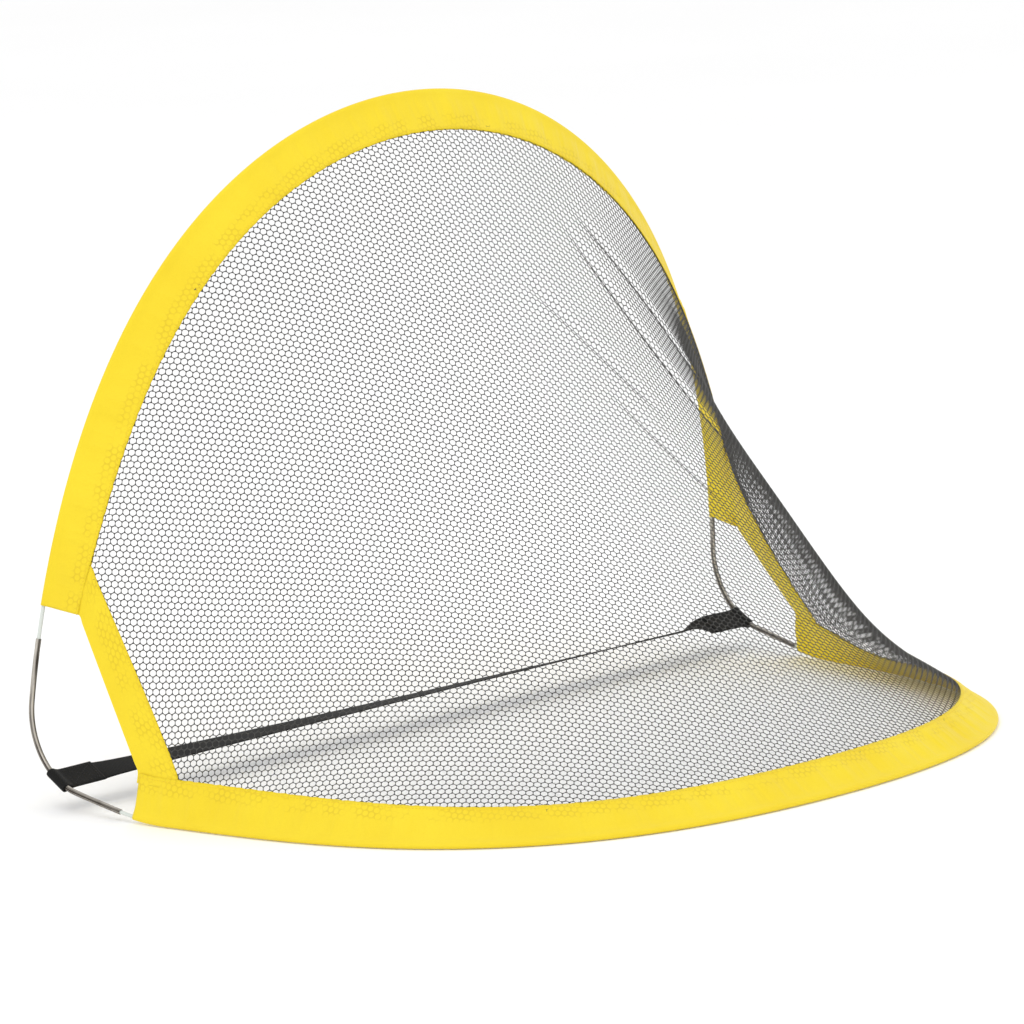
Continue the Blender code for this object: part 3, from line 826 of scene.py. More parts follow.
class Sleeve:
    """A strip of cloth folded round a rod, with both its edges sewn together over the net's edge.

    Its section, seen along the rod, is a long hem that widens by a bell curve into a half circle round the rod.
    Puckers are slow waves along the rod. They lift the hem, most between rod and edge, and part its layers.
    """

    def __init__(self, line, ways, phase, band_ends):
        self.line, self.ways, self.phase = line, ways, phase
        self.along = along = distances(line)
        self.over = np.cross(tangents(line), ways)
        near, far = along - band_ends[0], along[-1] - band_ends[1] - along
        self.wide = sum(1 - np.clip(past / END_FADE, 0.0, 1.0) for past in (near, far))

    def layer(self, across, up, side):
        """Points of a layer: side is 1 above and -1 below. across and up are in the section."""
        along = self.along
        hem_share = np.clip(across / SLEEVE_WIDTH, 0.0, 1.0)
        sway = wander(along, (0.031, self.phase), (0.053, self.phase * 2), (0.087, 1.0 + self.phase))
        small = wander(along, (0.0113, self.phase * 3), (0.0171, self.phase), (0.0079, 2.0))
        full = wander(along, (0.043, self.phase + 1), (0.071, 2 * self.phase), (0.024, 0.4))
        bulge = np.sin(pi * np.clip(hem_share * 1.08, 0.0, 1.0))
        lift = sway[:, None] * SWAY_LIFT * np.sin(pi * hem_share) + small[:, None] * FINE_LIFT * bulge
        part = (0.25 + 0.35 * full[:, None]) * LAYER_GAP * bulge**2 + END_GAP * self.wide[:, None] * hem_share
        trim = EDGE_WANDER * small[:, None] * hem_share**6
        reach = self.line[:, None] + (across + trim)[..., None] * self.ways[:, None]
        return reach + (lift + side * (up + np.abs(part)))[..., None] * self.over[:, None]

    def surface(self):
        across, up, from_hem = sleeve_section(SLEEVE_WIDTH)
        top = self.layer(across[None], up[None], 1.0)
        low = self.layer(across[None], up[None], -1.0)
        grid = np.concatenate([top, low[:, -2::-1]], axis=1)
        across_uv = np.concatenate([from_hem, from_hem[-2::-1]])
        uv = np.stack(np.broadcast_arrays(self.along[:, None], across_uv[None]), axis=-1)
        return grid, uv, 2 * from_hem[-1]

    def seam(self, looks, side):
        """A row of stitches on one face, along the hem."""
        pitch = looks.stitch_pitch
        across = np.full((len(self.line), 1), SLEEVE_WIDTH - SEAM_INSET)
        up = np.full_like(across, HEM_HALF + looks.cloth_thickness / 2 + SEAM_LIFT)
        row = self.layer(across, up, side)[:, 0]
        wanted = np.arange(pitch, self.along[-1] - pitch, pitch)
        heading = unit(places(row, wanted + pitch * 0.3) - places(row, wanted - pitch * 0.3))
        away = read_along(self.along, self.over, wanted) * side
        return stitch_row(places(row, wanted), heading, square_to(away, heading), pitch * STITCH_SHARE,
                          STITCH_RADIUS)


def left_tail():
    """The stretch of the left corner tube under the arch sleeve, up to the tube's mouth, in even steps."""
    whole = distances(ELBOW)[-1]
    return mirrored(places(ELBOW, np.linspace(whole - LEFT_TAIL, whole, 14)))


def sleeve_thread(looks):
    return once(plain_thread, "thread_yellow", looks.thread, looks.thread_shade_and_tone)


class GOAL_OT_sleeves(bpy.types.Operator):
    """Adds the yellow sleeves: folded strips of cloth round the two rods, with their seams"""

    bl_idname = "goal.sleeves"
    bl_label = "Sleeves"

    def execute(self, context):
        looks = Looks(context.scene)
        arch_start = stretch(ARCH, 0.0, ARCH_SLEEVE_ENDS[0])[:-1]
        arch = np.vstack([left_tail(), arch_start, ARCH_SLEEVE])
        extra = len(arch) - len(ARCH_SLEEVE)
        arch_ways = ways_along(ARCH_SLEEVE, ARCH_WAYS, distances(ARCH_SLEEVE))
        arch_ways = square_to(np.vstack([np.tile(arch_ways[:1], (extra, 1)), arch_ways]), tangents(arch))
        base_ways = ways_along(BASE_SLEEVE, BASE_WAYS, distances(BASE_SLEEVE))
        base_ways = square_to(base_ways, tangents(BASE_SLEEVE))
        lead = distances(arch)[extra]
        finish = once(yellow_cloth, "polyester_yellow", looks, SLEEVE_PRESS)
        for part, line, ways, phase, band_ends in (
            ("base", BASE_SLEEVE, base_ways, 0.7, (BAND_WIDTH, BAND_WIDTH)),
            ("arch", arch, arch_ways, 2.1, (lead + BAND_WIDTH, BAND_WIDTH)),
        ):
            sleeve = Sleeve(line, ways, phase, band_ends)
            grid, uv, width = sleeve.surface()
            made = dress(shell(f"sleeve_of_{part}", grid, looks.cloth_thickness, uv), finish)
            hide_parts(f"{part}_sleeve")
            rows = [sleeve.seam(looks, side) for side in (1.0, -1.0)]
            seam = dress(stitches(f"sleeve_of_{part}_seam", rows), sleeve_thread(looks))
            for piece in (made, seam):
                if part == "base":
                    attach(piece, "base")
                else:
                    flex_with_rod(piece)
        return {"FINISHED"}


def tucked_knots():
    """The net's knots with one more row at each end, tucked in between the layers of the sleeves."""
    base = KNOTS[:, :1] - HEM_TUCK * BASE_WAYS[:, None]
    arch = KNOTS[:, -1:] - HEM_TUCK * ARCH_WAYS[:, None]
    return np.concatenate([base, KNOTS, arch], axis=1)


class GOAL_OT_side_bands(bpy.types.Operator):
    """Adds the two folded bands that close the net's short ends, tucked into the sleeves"""

    bl_idname = "goal.side_bands"
    bl_label = "Side bands"

    def execute(self, context):
        looks = Looks(context.scene)
        finish = once(yellow_cloth, "polyester_yellow_band", looks, BAND_PRESS)
        knots = edged(tucked_knots())
        rows = np.linspace(0.1, NET_ROWS + 1.9, 110)
        half = HEM_HALF - 0.0002
        # A layer's section: its share of the band's width from the fold, and the turn of the fold itself
        share = np.concatenate([1 - np.linspace(0.0, 1.0, 20) ** 0.9 * 0.985, np.full(6, 0.015)])
        turn = np.concatenate([np.zeros(20), np.linspace(0.0, pi / 2, 7)[1:]])
        for side, start, step, phase in (("left", 0.0, 1.0, 0.4), ("right", float(NET_COLUMNS), -1.0, 1.9)):
            edge = smooth_place(knots, np.full_like(rows, start), rows)
            inner = smooth_place(knots, np.full_like(rows, start + step), rows)
            if side == "left":
                # The band's outer corner follows the sleeve's end down over the tube
                tail = left_tail()[0] - ARCH_SLEEVE[0]
                edge = edge + np.clip(rows / (NET_ROWS + 1.0), 0.0, 1.0)[:, None] * tail
            inward = unit(inner - edge)
            over = np.cross(tangents(edge), inward)
            along = distances(edge)
            sway = wander(along, (0.037, phase), (0.061, 2 * phase), (0.019, 3 * phase))
            bulge = np.sin(pi * share)[None]
            lift = sway[:, None] * BAND_LIFT * bulge
            widths = np.linalg.norm(inner - edge, axis=1)
            across = share[None] * widths[:, None] - half * np.sin(turn)[None]
            flat = edge[:, None] + across[..., None] * inward[:, None]
            full = 1 + wander(along, (0.029, phase))
            part = half * np.cos(turn)[None] + BAND_GAP * full[:, None] * bulge**2
            layers = [flat + (lift + face * part)[..., None] * over[:, None] for face in (1.0, -1.0)]
            grid = np.concatenate([layers[0], layers[1][:, -2::-1]], axis=1)
            from_hem = (1 - share) * BAND_WIDTH + half * turn
            across_uv = np.concatenate([from_hem, from_hem[-2::-1]])
            uv = np.stack(np.broadcast_arrays(along[:, None], across_uv[None]), axis=-1)
            made = dress(shell(f"band_{side}", grid, looks.cloth_thickness, uv), finish)
            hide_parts(f"side_band_{side}")
            seams = []
            for face, layer in zip((1.0, -1.0), layers):
                row = layer[:, 1]
                wanted = np.arange(0.013, along[-1] - 0.013, looks.stitch_pitch)
                heading = unit(places(row, wanted + 0.001) - places(row, wanted - 0.001))
                away = face * read_along(along, over, wanted)
                centres = places(row, wanted) + away * (looks.cloth_thickness / 2 + SEAM_LIFT)
                seams.append(stitch_row(centres, heading, square_to(away, heading),
                                        looks.stitch_pitch * STITCH_SHARE, STITCH_RADIUS))
            seam = dress(stitches(f"band_{side}_seam", seams), sleeve_thread(looks))
            flex_with_net(made)
            flex_with_net(seam)
        return {"FINISHED"}


# ---- Net ----

MESH_TILT = radians(-26.0)      # of the net's rows against the hems
NET_PARTS = 7
FIRST_COLUMN, LAST_COLUMN = 0.88, NET_COLUMNS - 0.88
FIRST_ROW, LAST_ROW = 0.6, NET_ROWS + 1.4
FLATTEN_ROUNDS, FLATTEN_PUSH = 1600, 1.8
LAYING_ROUNDS, LAYING_STEP, LAID_CLOSE = 12, 1e-3, 1e-4
NORMAL_STEP = 0.02              # in columns or rows, between the places that a normal is taken from
YARN_CROWNS = (1.0, 1.0, 0.85, 1.15, 0.85)   # heights of a cell's two junctions and three yarns
KNOT_SPACING = (0.037, 0.035)   # about how far apart the knots lie, from column to column and from row to row
CREASE_REACH = 0.009            # how far to each side a crease draws the yarns in
CREASE_PINCH = 0.62             # share of their distance from the crease that they lose
# Tension creases near the arch's left shoulder: where each starts and ends, as (column, row), and its height
NET_CREASES = (
    ((13.7, 17.6), (9.3, 10.6), 0.0026),
    ((12.9, 17.8), (7.8, 14.0), 0.0020),
    ((15.2, 12.6), (12.8, 8.6), 0.0012),
    ((16.4, 15.6), (13.0, 11.4), 0.0010),
)
# Where the stretched net is drawn in (+) or out (-) by its cut: (column, row), reach in each, and how far
NET_FULLNESS = (
    ((4.5, 15.5), (4.0, 3.0), 0.004),
    ((7.0, 9.5), (4.5, 3.4), -0.006),
    ((8.0, 3.6), (5.0, 2.4), 0.006),
)


def flattened(grid):
    """The grid laid out flat: its points move, in rounds, until neighbours are as far apart as on the net."""
    columns, rows = grid.shape[:2]
    middle = distances(grid[:, rows // 2])
    heights = np.stack([distances(column) for column in grid])
    flat = np.stack(np.broadcast_arrays(middle[:, None], heights - heights[:, -1:] / 2), axis=-1)
    pairs = [
        (np.s_[:-1, :], np.s_[1:, :]),
        (np.s_[:, :-1], np.s_[:, 1:]),
        (np.s_[:-1, :-1], np.s_[1:, 1:]),
        (np.s_[:-1, 1:], np.s_[1:, :-1]),
    ]
    lengths = [np.linalg.norm(grid[b] - grid[a], axis=-1, keepdims=True) for a, b in pairs]
    count = np.zeros((columns, rows, 1))
    for a, b in pairs:
        count[a] += 1
        count[b] += 1
    for _ in range(FLATTEN_ROUNDS):
        move = np.zeros_like(flat)
        for (a, b), wanted in zip(pairs, lengths):
            apart = flat[b] - flat[a]
            now = np.linalg.norm(apart, axis=-1, keepdims=True)
            pull = apart * ((now - wanted) / now / 2)
            move[a] += pull
            move[b] -= pull
        flat += move / count * FLATTEN_PUSH
    return flat - flat[columns // 2, rows // 2]


def lie_on(flat, wanted):
    """(columns, rows, their change per flat metre) of flat points, by Newton's steps on the laid-out grid."""
    grid = edged(flat)
    columns, rows = flat.shape[0] - 1, flat.shape[1] - 1
    column = np.interp(wanted[:, 0], flat[:, rows // 2, 0], np.arange(columns + 1))
    low = np.interp(column, np.arange(columns + 1), flat[:, 0, 1])
    high = np.interp(column, np.arange(columns + 1), flat[:, -1, 1])
    row = np.clip((wanted[:, 1] - low) / (high - low), 0.0, 1.0) * rows
    for _ in range(LAYING_ROUNDS):
        here = smooth_place(grid, column, row)
        by_column = (smooth_place(grid, column + LAYING_STEP, row) - here) / LAYING_STEP
        by_row = (smooth_place(grid, column, row + LAYING_STEP) - here) / LAYING_STEP
        turn = by_column[:, 0] * by_row[:, 1] - by_column[:, 1] * by_row[:, 0]
        miss = wanted - here
        column_step = (miss[:, 0] * by_row[:, 1] - miss[:, 1] * by_row[:, 0]) / turn
        row_step = (by_column[:, 0] * miss[:, 1] - by_column[:, 1] * miss[:, 0]) / turn
        column = np.clip(column + np.clip(column_step, -1, 1), -1.0, columns + 1.0)
        row = np.clip(row + np.clip(row_step, -1, 1), -1.0, rows + 1.0)
    back = np.stack([
        np.stack([by_row[:, 1], -by_row[:, 0]], axis=1),
        np.stack([-by_column[:, 1], by_column[:, 0]], axis=1),
    ], axis=1) / turn[:, None, None]
    return column, row, back, np.linalg.norm(miss, axis=1)


def turned(angle):
    return np.array([cos(angle), sin(angle)])


def yarn_offsets(looks):
    """Flat places of a cell's 17 points, from its centre.

    Each of its two junctions has a middle and the three corners between its yarns. Each of the three yarns from
    the first junction has a middle and two sides.
    """
    corner = looks.mesh_pitch / 3**0.5
    fillet = 0.07 * looks.mesh_pitch + 0.45 * looks.yarn_width
    first = corner * turned(MESH_TILT + pi / 2)
    offsets = []
    for junction, angles in ((first, (30.0, 150.0, 270.0)), (-first, (210.0, 330.0, 90.0))):
        offsets += [junction, *(junction + fillet * turned(MESH_TILT + radians(angle)) for angle in angles)]
    widths = (looks.yarn_width, looks.yarn_width_main, looks.yarn_width)
    for angle, width in zip(MESH_TILT + np.radians([-30.0, 210.0, 90.0]), widths):
        middle, side = first + corner / 2 * turned(angle), width / 2 * turned(angle + pi / 2)
        offsets += [middle, middle + side, middle - side]
    return np.array(offsets)


MIDDLES = [0, 4, 8, 11, 14]     # the junctions and the yarns' middles among those points
JUNCTION_POINTS, YARN_POINTS = 5, 4
CELL_POINTS = 2 * JUNCTION_POINTS + 3 * YARN_POINTS
YARN_WAYS = ((0, 1), (-1, 1), (-1, 2))   # from a cell to the one that holds the far end of each of its yarns
AROUND = (0, 2, 1)              # the yarns in their turn round a junction


class NetCells:
    """The cells of the six-sided mesh that lie on the net, numbered by their place in the lattice."""

    def __init__(self, looks, knots):
        flat, pitch = flattened(knots), looks.mesh_pitch
        cells_across = np.ceil(np.ptp(flat.reshape(-1, 2), axis=0).max() / pitch)
        reach = int(cells_across * 0.75) + 4
        level = np.arange(-reach, reach + 1)
        i, j = (index.ravel() for index in np.meshgrid(level, level, indexing="ij"))
        step, rise = pitch * turned(MESH_TILT), pitch * turned(MESH_TILT + pi / 3)
        column, row, back, miss = lie_on(flat, i[:, None] * step + j[:, None] * rise)
        local = np.einsum("nab,kb->nka", back, yarn_offsets(looks))
        columns, rows = column[:, None] + local[..., 0], row[:, None] + local[..., 1]
        good = (miss < LAID_CLOSE)[:, None] & (columns > FIRST_COLUMN) & (columns < LAST_COLUMN)
        good = (good & (rows > FIRST_ROW) & (rows < LAST_ROW))[:, MIDDLES[:2]]
        used = good.any(axis=1)
        self.flat, self.good = flat, good[used]
        self.lattice = i[used] + reach, j[used] + reach
        self.number = np.full((2 * reach + 1, 2 * reach + 1), -1)
        self.number[self.lattice] = np.arange(used.sum())
        self.columns = np.clip(columns[used], 0.0, NET_COLUMNS)
        self.rows = np.clip(rows[used], 0.0, NET_ROWS + 2.0)
        share = (self.columns[:, MIDDLES[:2]] - FIRST_COLUMN) / (LAST_COLUMN - FIRST_COLUMN)
        self.part = np.floor(share * NET_PARTS).astype(int)

    def points(self, looks, surface):
        """Each cell's points: top, foot and corners of both junctions, then top, foot and sides of each yarn."""
        at = net_places(surface, self.columns, self.rows)
        middles = at[:, MIDDLES]
        columns, rows = self.columns[:, MIDDLES], self.rows[:, MIDDLES]
        by_column = net_places(surface, columns + NORMAL_STEP, rows) - middles
        by_row = net_places(surface, columns, rows + NORMAL_STEP) - middles
        height = looks.yarn_height / 2 * np.array(YARN_CROWNS)[:, None] * unit(np.cross(by_column, by_row))
        ends = [*MIDDLES[1:], at.shape[1]]
        groups = []
        for k, (first, end) in enumerate(zip(MIDDLES, ends)):
            groups += [(middles + height)[:, k:k + 1], (middles - height)[:, k:k + 1], at[:, first + 1:end]]
        return np.concatenate(groups, axis=1).reshape(-1, 3)

    def yarns(self, here, second, part):
        """(top, foot, left, right, if its other half is in this part, if it is there) for each yarn."""
        found = []
        for k, way in enumerate(YARN_WAYS):
            sign, last = -1 if second else 1, len(self.number) - 1
            beside = tuple(np.clip(self.lattice[axis][here] + sign * way[axis], 0, last) for axis in (0, 1))
            other = self.number[beside]
            joined = (other >= 0) & self.good[other, 1 - second] & (self.part[other, 1 - second] == part)
            owner = other if second else here
            top = owner * CELL_POINTS + 2 * JUNCTION_POINTS + YARN_POINTS * k
            left, right = (top + 3, top + 2) if second else (top + 2, top + 3)
            found.append((top, top + 1, left, right, joined, owner >= 0))
        return found

    def faces(self, part):
        """Quads of one part: from each junction out to its yarns' middles, and a cap where a yarn stops."""
        quads = []
        for second in (0, 1):
            here = np.nonzero(self.good[:, second] & (self.part[:, second] == part))[0]
            top = here * CELL_POINTS + JUNCTION_POINTS * second
            yarns = self.yarns(here, second, part)
            for n, k in enumerate(AROUND):
                corner, after = top + 2 + n, yarns[AROUND[(n + 1) % 3]]
                yarn_top, yarn_foot, left, right, joined, there = yarns[k]
                quads += [
                    np.stack([top, yarn_top, left, corner], axis=1)[there],
                    np.stack([top + 1, corner, left, yarn_foot], axis=1)[there],
                    np.stack([top, corner, after[3], after[0]], axis=1)[after[5]],
                    np.stack([top + 1, after[1], after[3], corner], axis=1)[after[5]],
                    np.stack([left, yarn_top, right, yarn_foot], axis=1)[there & ~joined],
                ]
        return np.concatenate(quads)

    def flat_size(self, part):
        """(width, height) of one part of the net laid out flat: the means along and across it."""
        borders = np.linspace(FIRST_COLUMN, LAST_COLUMN, NET_PARTS + 1)
        columns = np.linspace(borders[part], borders[part + 1], 30)
        rows = np.linspace(FIRST_ROW, LAST_ROW, 60)
        laid = smooth_place(edged(self.flat), *np.meshgrid(columns, rows, indexing="ij"))
        width = np.mean([distances(laid[:, row])[-1] for row in range(laid.shape[1])])
        return width, np.mean([distances(column)[-1] for column in laid])


class GOAL_OT_net(bpy.types.Operator):
    """Adds the net: yarns round six-sided holes, laid out flat and carried onto the stretched surface"""

    bl_idname = "goal.net"
    bl_label = "Net"

    def execute(self, context):
        looks = Looks(context.scene)
        knots = tucked_knots()
        net = NetCells(looks, knots)
        points = net.points(looks, edged(knots))
        finish = once(plain_thread, "net_yarn_black", looks.yarn, looks.yarn_shade_and_tone)
        for part in range(NET_PARTS):
            kept, numbers = np.unique(net.faces(part), return_inverse=True)
            made = build(f"net_{part + 1}", points[kept], [numbers.reshape(-1, 4)])
            dress(made, finish)
            if part == 0:
                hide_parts("net")
            net.flat_size(part)
            yarn_area(made)
            flex_with_net(made)
        return {"FINISHED"}


def yarn_area(net_part):
    """The flat area that the yarns themselves cover: half of their whole surface."""
    areas = np.empty(len(net_part.data.polygons), np.float32)
    net_part.data.polygons.foreach_get("area", areas)
    return float(areas.sum()) / 2


def net_places(surface, columns, rows):
    """Points of the stretched net: the smooth surface, with its fullness and its creases.

    Fullness moves the surface along its normal by a bell curve round a place. A crease draws in the yarns
    beside its line, and lifts them, by a bell curve across the line, which fades out at the line's two ends.
    """
    lift, drawn_columns, drawn_rows = 0.0, 0.0, 0.0
    for start, end, height in NET_CREASES:
        run = np.subtract(end, start)
        share = ((columns - start[0]) * run[0] + (rows - start[1]) * run[1]) / (run**2).sum()
        share = np.clip(share, 0.0, 1.0)
        away = columns - start[0] - share * run[0], rows - start[1] - share * run[1]
        apart = np.hypot(away[0] * KNOT_SPACING[0], away[1] * KNOT_SPACING[1])
        fade = np.clip(np.minimum(share, 1 - share) * 4, 0.0, 1.0)
        bell = fade**2 * (3 - 2 * fade) * np.exp(-((apart / CREASE_REACH) ** 2))
        lift = lift + height * bell
        drawn_columns = drawn_columns - CREASE_PINCH * away[0] * bell
        drawn_rows = drawn_rows - CREASE_PINCH * away[1] * bell
    free = np.clip(np.minimum(columns - 1, NET_COLUMNS - 1 - columns), 0.0, 1.0)
    free = free * np.clip(np.minimum(rows - 1, NET_ROWS + 1 - rows) / 1.5, 0.0, 1.0)
    for place, reach, height in NET_FULLNESS:
        apart = ((columns - place[0]) / reach[0]) ** 2 + ((rows - place[1]) / reach[1]) ** 2
        lift = lift + height * free * np.exp(-apart)
    columns, rows = columns + drawn_columns, rows + drawn_rows
    points = smooth_place(surface, columns, rows)
    by_column = smooth_place(surface, columns + NORMAL_STEP, rows) - points
    by_row = smooth_place(surface, columns, rows + NORMAL_STEP) - points
    return points + lift[..., None] * unit(np.cross(by_column, by_row))


# ---- Strap ----

LAP_GAP = 0.00004               # between a lap's inner face and its middle
LAP_FADE = 0.0058               # reach of the bell curve in which a lap widens to go round the tube
TWIST_LEAD = 0.05               # share of the strap's free length in which it leaves a lap
BOX_NEAR, BOX_FAR, BOX_INSET = 0.012, 0.044, 0.003   # the crossed box, from the tube and the strap's edges
BOX_PITCH, BOX_STITCH, BOX_THREAD, BOX_LIFT = 0.0024, 0.0020, 0.00028, 0.00012


def lap_frame():
    """(place, heading, way, over) of the right lap: on the tube, along it, inwards, and up from the lap."""
    near = places(ELBOW, np.array([STRAP_PLACE - 1e-3, STRAP_PLACE, STRAP_PLACE + 1e-3]))
    heading = unit(near[2] - near[0])
    way = square_to(np.array([-1.0, 0.0, 0.0]), heading)
    over = np.cross(heading, way)
    return near[1], heading, way, over if over[2] > 0 else -over


def strap_path(place, heading, way, over):
    """(middles, width directions): the strap from its right lap's end, round both tubes, to its left lap's end.

    At each corner the webbing goes out along the top of its lap, round the tube as a half circle that widens
    from the lap by a bell curve, and back below. Between the corners it turns about its own line.
    """
    radius = TUBE_RADIUS + STRAP_LOOP_SLACK + STRAP_THICKNESS / 2
    half = STRAP_THICKNESS / 2 + LAP_GAP
    lap = np.linspace(STRAP_LOOP_LENGTH, 0.0, 34)
    rise = half + (radius - half) * np.exp(-((lap / LAP_FADE) ** 2))
    turn = np.linspace(0.0, pi, 25)[1:-1]
    across = np.concatenate([lap, -radius * np.sin(turn), lap[::-1]])
    up = np.concatenate([rise, radius * np.cos(turn), -rise[::-1]])
    right = place + across[:, None] * way + up[:, None] * over
    left = mirrored(right)[::-1]
    share = np.linspace(0.0, 1.0, 300)
    ease = 1 - np.clip(np.minimum(share, 1 - share) / TWIST_LEAD, 0.0, 1.0)
    span = place[0] - STRAP_LOOP_LENGTH
    level = np.ones_like(share)
    free = np.column_stack([span * (1 - 2 * share), place[1] * level, place[2] * level])
    free += (right[-1] - free[0]) * (ease**2 * (3 - 2 * ease))[:, None] * np.array([0.0, 1.0, 1.0])
    turning = (share / STRAP_TWIST_PLACE) ** STRAP_TWIST_EASE
    home = (1 - share) / (1 - STRAP_TWIST_PLACE)
    homing = np.sin(np.minimum(home, 1.0) * pi / 2) ** 2
    turn = STRAP_TWIST * np.where(share < STRAP_TWIST_PLACE, turning, homing)
    flat = np.arctan2(heading[2], -heading[1])
    width = np.stack([np.zeros_like(turn), -np.cos(flat + turn), np.sin(flat + turn)], axis=1)
    middles = np.vstack([right[:-1], free, left[1:]])
    ends = np.tile(heading, (len(right) - 1, 1))
    return middles, square_to(np.vstack([ends, width, mirrored(ends)]), tangents(middles))


def box_stitches(place, heading, way, over):
    """Rows of stitches on both faces of both laps: a box along the lap's edges, crossed between its corners."""
    near, far, side = BOX_NEAR, BOX_FAR, STRAP_WIDTH / 2 - BOX_INSET
    corners = np.array([(near, -side, 0.0), (far, -side, 0.0), (far, side, 0.0), (near, side, 0.0)])
    route = corners[[0, 1, 2, 3, 0, 2, 1, 3]]
    wanted = np.arange(BOX_PITCH / 2, distances(route)[-1] - BOX_PITCH / 2, BOX_PITCH)
    flat = places(route, wanted)
    ahead = places(route, wanted + BOX_PITCH / 4) - flat
    course = unit(ahead[:, :1] * way + ahead[:, 1:2] * heading)
    bell = (TUBE_RADIUS + STRAP_LOOP_SLACK) * np.exp(-((flat[:, :1] / LAP_FADE) ** 2))
    rows = []
    for face in (1.0, -1.0):
        lift = face * (STRAP_THICKNESS + BOX_LIFT + bell)
        centres = place + flat[:, :1] * way + flat[:, 1:2] * heading + lift * over
        up = np.tile(face * over, (len(centres), 1))
        rows.append(stitch_row(centres, course, up, BOX_STITCH, BOX_THREAD))
        rows.append(stitch_row(mirrored(centres), -mirrored(course), mirrored(up), BOX_STITCH, BOX_THREAD))
    return rows


class GOAL_OT_strap(bpy.types.Operator):
    """Adds the strap: one length of webbing, lapped round each corner tube and sewn with a crossed box"""

    bl_idname = "goal.strap"
    bl_label = "Strap"

    def execute(self, context):
        looks = Looks(context.scene)
        lap = lap_frame()
        middles, widths = strap_path(*lap)
        steps = np.linspace(-1.0, 1.0, 19)
        grid = middles[:, None] + STRAP_WIDTH / 2 * steps[None, :, None] * widths[:, None]
        edge = 1 - 0.45 * np.abs(steps) ** 14
        along, across = distances(middles)[:, None], (steps * STRAP_WIDTH / 2)[None]
        uv = np.stack(np.broadcast_arrays(along, across), axis=-1)
        made = shell("strap_webbing", grid, STRAP_THICKNESS * edge[None], uv)
        dress(made, once(webbing_cloth, "webbing_black", looks))
        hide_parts("strap", "strap_loop_left", "strap_loop_right")
        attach(made, "base")
        # The black thread takes the strap's plain colour as painted shade in the dips of its fuzz
        thread = once(plain_thread, "thread_black", looks.webbing_worn, looks.webbing)
        seam = dress(stitches("strap_seams", box_stitches(*lap)), thread)
        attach(seam, "base")
        return {"FINISHED"}


# ---- Stage ----

CAMERA_PLACE = (3.8854, 3.8848, 1.1727)
CAMERA_YAW, CAMERA_PITCH, CAMERA_ROLL = radians(224.141), radians(-9.681), radians(-2.728)
CAMERA_LENS, CAMERA_SENSOR = 210.94, 36.0
FLOOR_HALF, FLOOR_POINTS, FLOOR_LEVEL = 30.0, 21, -0.0006
LAMP_AIM = (0.0, 0.0, 0.2)
LAMPS = (
    ("key_light", (2.6, 1.2, 3.6), 2.2, 36.0),
    ("fill_light", (-2.4, 2.6, 2.8), 3.0, 9.0),
)


def faced(right, top, ahead, place):
    """The matrix of a camera or a lamp at a place, from its own right and top and where it looks."""
    matrix = Matrix.Identity(4)
    for row in range(3):
        matrix[row][:] = (right[row], top[row], -ahead[row], place[row])
    return matrix


def camera_matrix():
    """The camera's turn from its heading clockwise from +Y, its pitch and its roll."""
    flat = cos(CAMERA_PITCH)
    ahead = np.array([flat * sin(CAMERA_YAW), flat * cos(CAMERA_YAW), sin(CAMERA_PITCH)])
    level = np.array([cos(CAMERA_YAW), -sin(CAMERA_YAW), 0.0])
    up = np.cross(level, ahead)
    right = level * cos(CAMERA_ROLL) + up * sin(CAMERA_ROLL)
    top = -level * sin(CAMERA_ROLL) + up * cos(CAMERA_ROLL)
    return faced(right, top, ahead, CAMERA_PLACE)


def add_floor(looks):
    x, y = np.meshgrid(*[np.linspace(-FLOOR_HALF, FLOOR_HALF, FLOOR_POINTS)] * 2, indexing="ij")
    points = np.stack([x, y, np.full_like(x, FLOOR_LEVEL)], axis=-1).reshape(-1, 3)
    floor = build("studio_floor", points, [cells(FLOOR_POINTS, FLOOR_POINTS)])
    made = bpy.data.materials.new("studio_white")
    made.use_nodes = True
    start = Shade(made.node_tree)
    cloud = start.noise(start.node("TexCoord", out=3), 0.8, 2.0)
    shade = cloud.step(0.2, 0.8).mix(tuple(0.98 * part for part in looks.floor), looks.floor)
    wire_up(made.node_tree.nodes["Principled BSDF"], {"Base Color": shade},
            {"Roughness": 0.9, "Specular IOR Level": 0.1})
    floor.data.materials.append(made)


def add_lamp(scene, name, place, size, power):
    """A soft round lamp that looks at the object's middle."""
    light = bpy.data.lights.new(name, "AREA")
    light.shape, light.size, light.energy = "DISK", size, power
    lamp = bpy.data.objects.new(name, light)
    toward = unit(np.array(LAMP_AIM) - np.array(place))
    side = unit(np.cross(toward, (0.0, 0.0, 1.0)))
    lamp.matrix_world = faced(side, np.cross(side, toward), toward, place)
    scene.collection.objects.link(lamp)


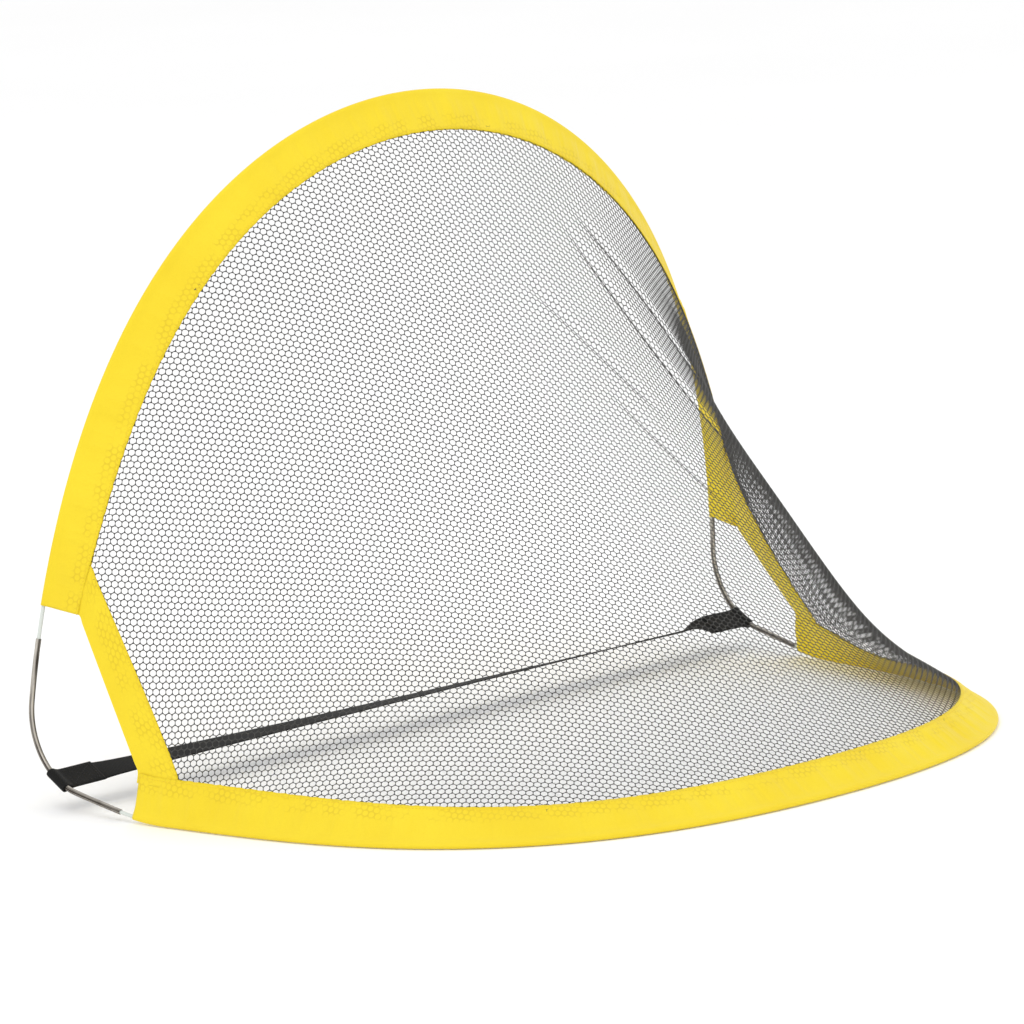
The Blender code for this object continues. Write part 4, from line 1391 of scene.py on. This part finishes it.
class GOAL_OT_stage(bpy.types.Operator):
    """Adds the pale floor, soft studio lights, a white surround and the camera"""

    bl_idname = "goal.stage"
    bl_label = "Stage"

    def execute(self, context):
        scene = context.scene
        add_floor(Looks(scene))
        world = bpy.data.worlds.new("studio_surround")
        world.use_nodes = True
        world.node_tree.nodes["Background"].inputs["Color"].default_value = (1.0, 1.0, 1.0, 1.0)
        world.node_tree.nodes["Background"].inputs["Strength"].default_value = 1.0
        scene.world = world
        for lamp in LAMPS:
            add_lamp(scene, *lamp)
        lens = bpy.data.cameras.new("camera")
        lens.lens, lens.sensor_width = CAMERA_LENS, CAMERA_SENSOR
        lens.clip_start, lens.clip_end = 0.1, 100.0
        camera = bpy.data.objects.new("camera", lens)
        camera.matrix_world = camera_matrix()
        scene.collection.objects.link(camera)
        scene.camera = camera
        scene.view_settings.view_transform = "Standard"
        scene.view_settings.look = "None"
        return {"FINISHED"}


# ---- Add-on ----

STEPS = (GOAL_OT_stage, GOAL_OT_rods, GOAL_OT_corner_tubes, GOAL_OT_sleeves, GOAL_OT_side_bands, GOAL_OT_net,
         GOAL_OT_strap)


class GOAL_PT_panel(bpy.types.Panel):
    """Lists the pieces of the goal and their settings"""

    bl_idname = "GOAL_PT_panel"
    bl_label = "Pop Up Goal"
    bl_space_type = "VIEW_3D"
    bl_region_type = "UI"
    bl_category = "Goal"

    def draw(self, context):
        for step in STEPS:
            self.layout.operator(step.bl_idname)
        for group in (context.scene.goal_sizes, context.scene.goal_colours):
            box = self.layout.box()
            for name in group.bl_rna.properties.keys():
                if name not in ("rna_type", "name"):
                    box.prop(group, name)


CLASSES = (GoalSizes, GoalColours, *STEPS, GOAL_PT_panel)


def register():
    for kind in CLASSES:
        bpy.utils.register_class(kind)
    bpy.types.Scene.goal_sizes = bpy.props.PointerProperty(type=GoalSizes)
    bpy.types.Scene.goal_colours = bpy.props.PointerProperty(type=GoalColours)


def unregister():
    del bpy.types.Scene.goal_colours
    del bpy.types.Scene.goal_sizes
    for kind in reversed(CLASSES):
        bpy.utils.unregister_class(kind)


def main():
    register()
    bpy.ops.goal.stage()
    bpy.ops.goal.rods()
    bpy.ops.goal.corner_tubes()
    bpy.ops.goal.sleeves()
    bpy.ops.goal.side_bands()
    bpy.ops.goal.net()
    bpy.ops.goal.strap()


if __name__ == "__main__":
    main()
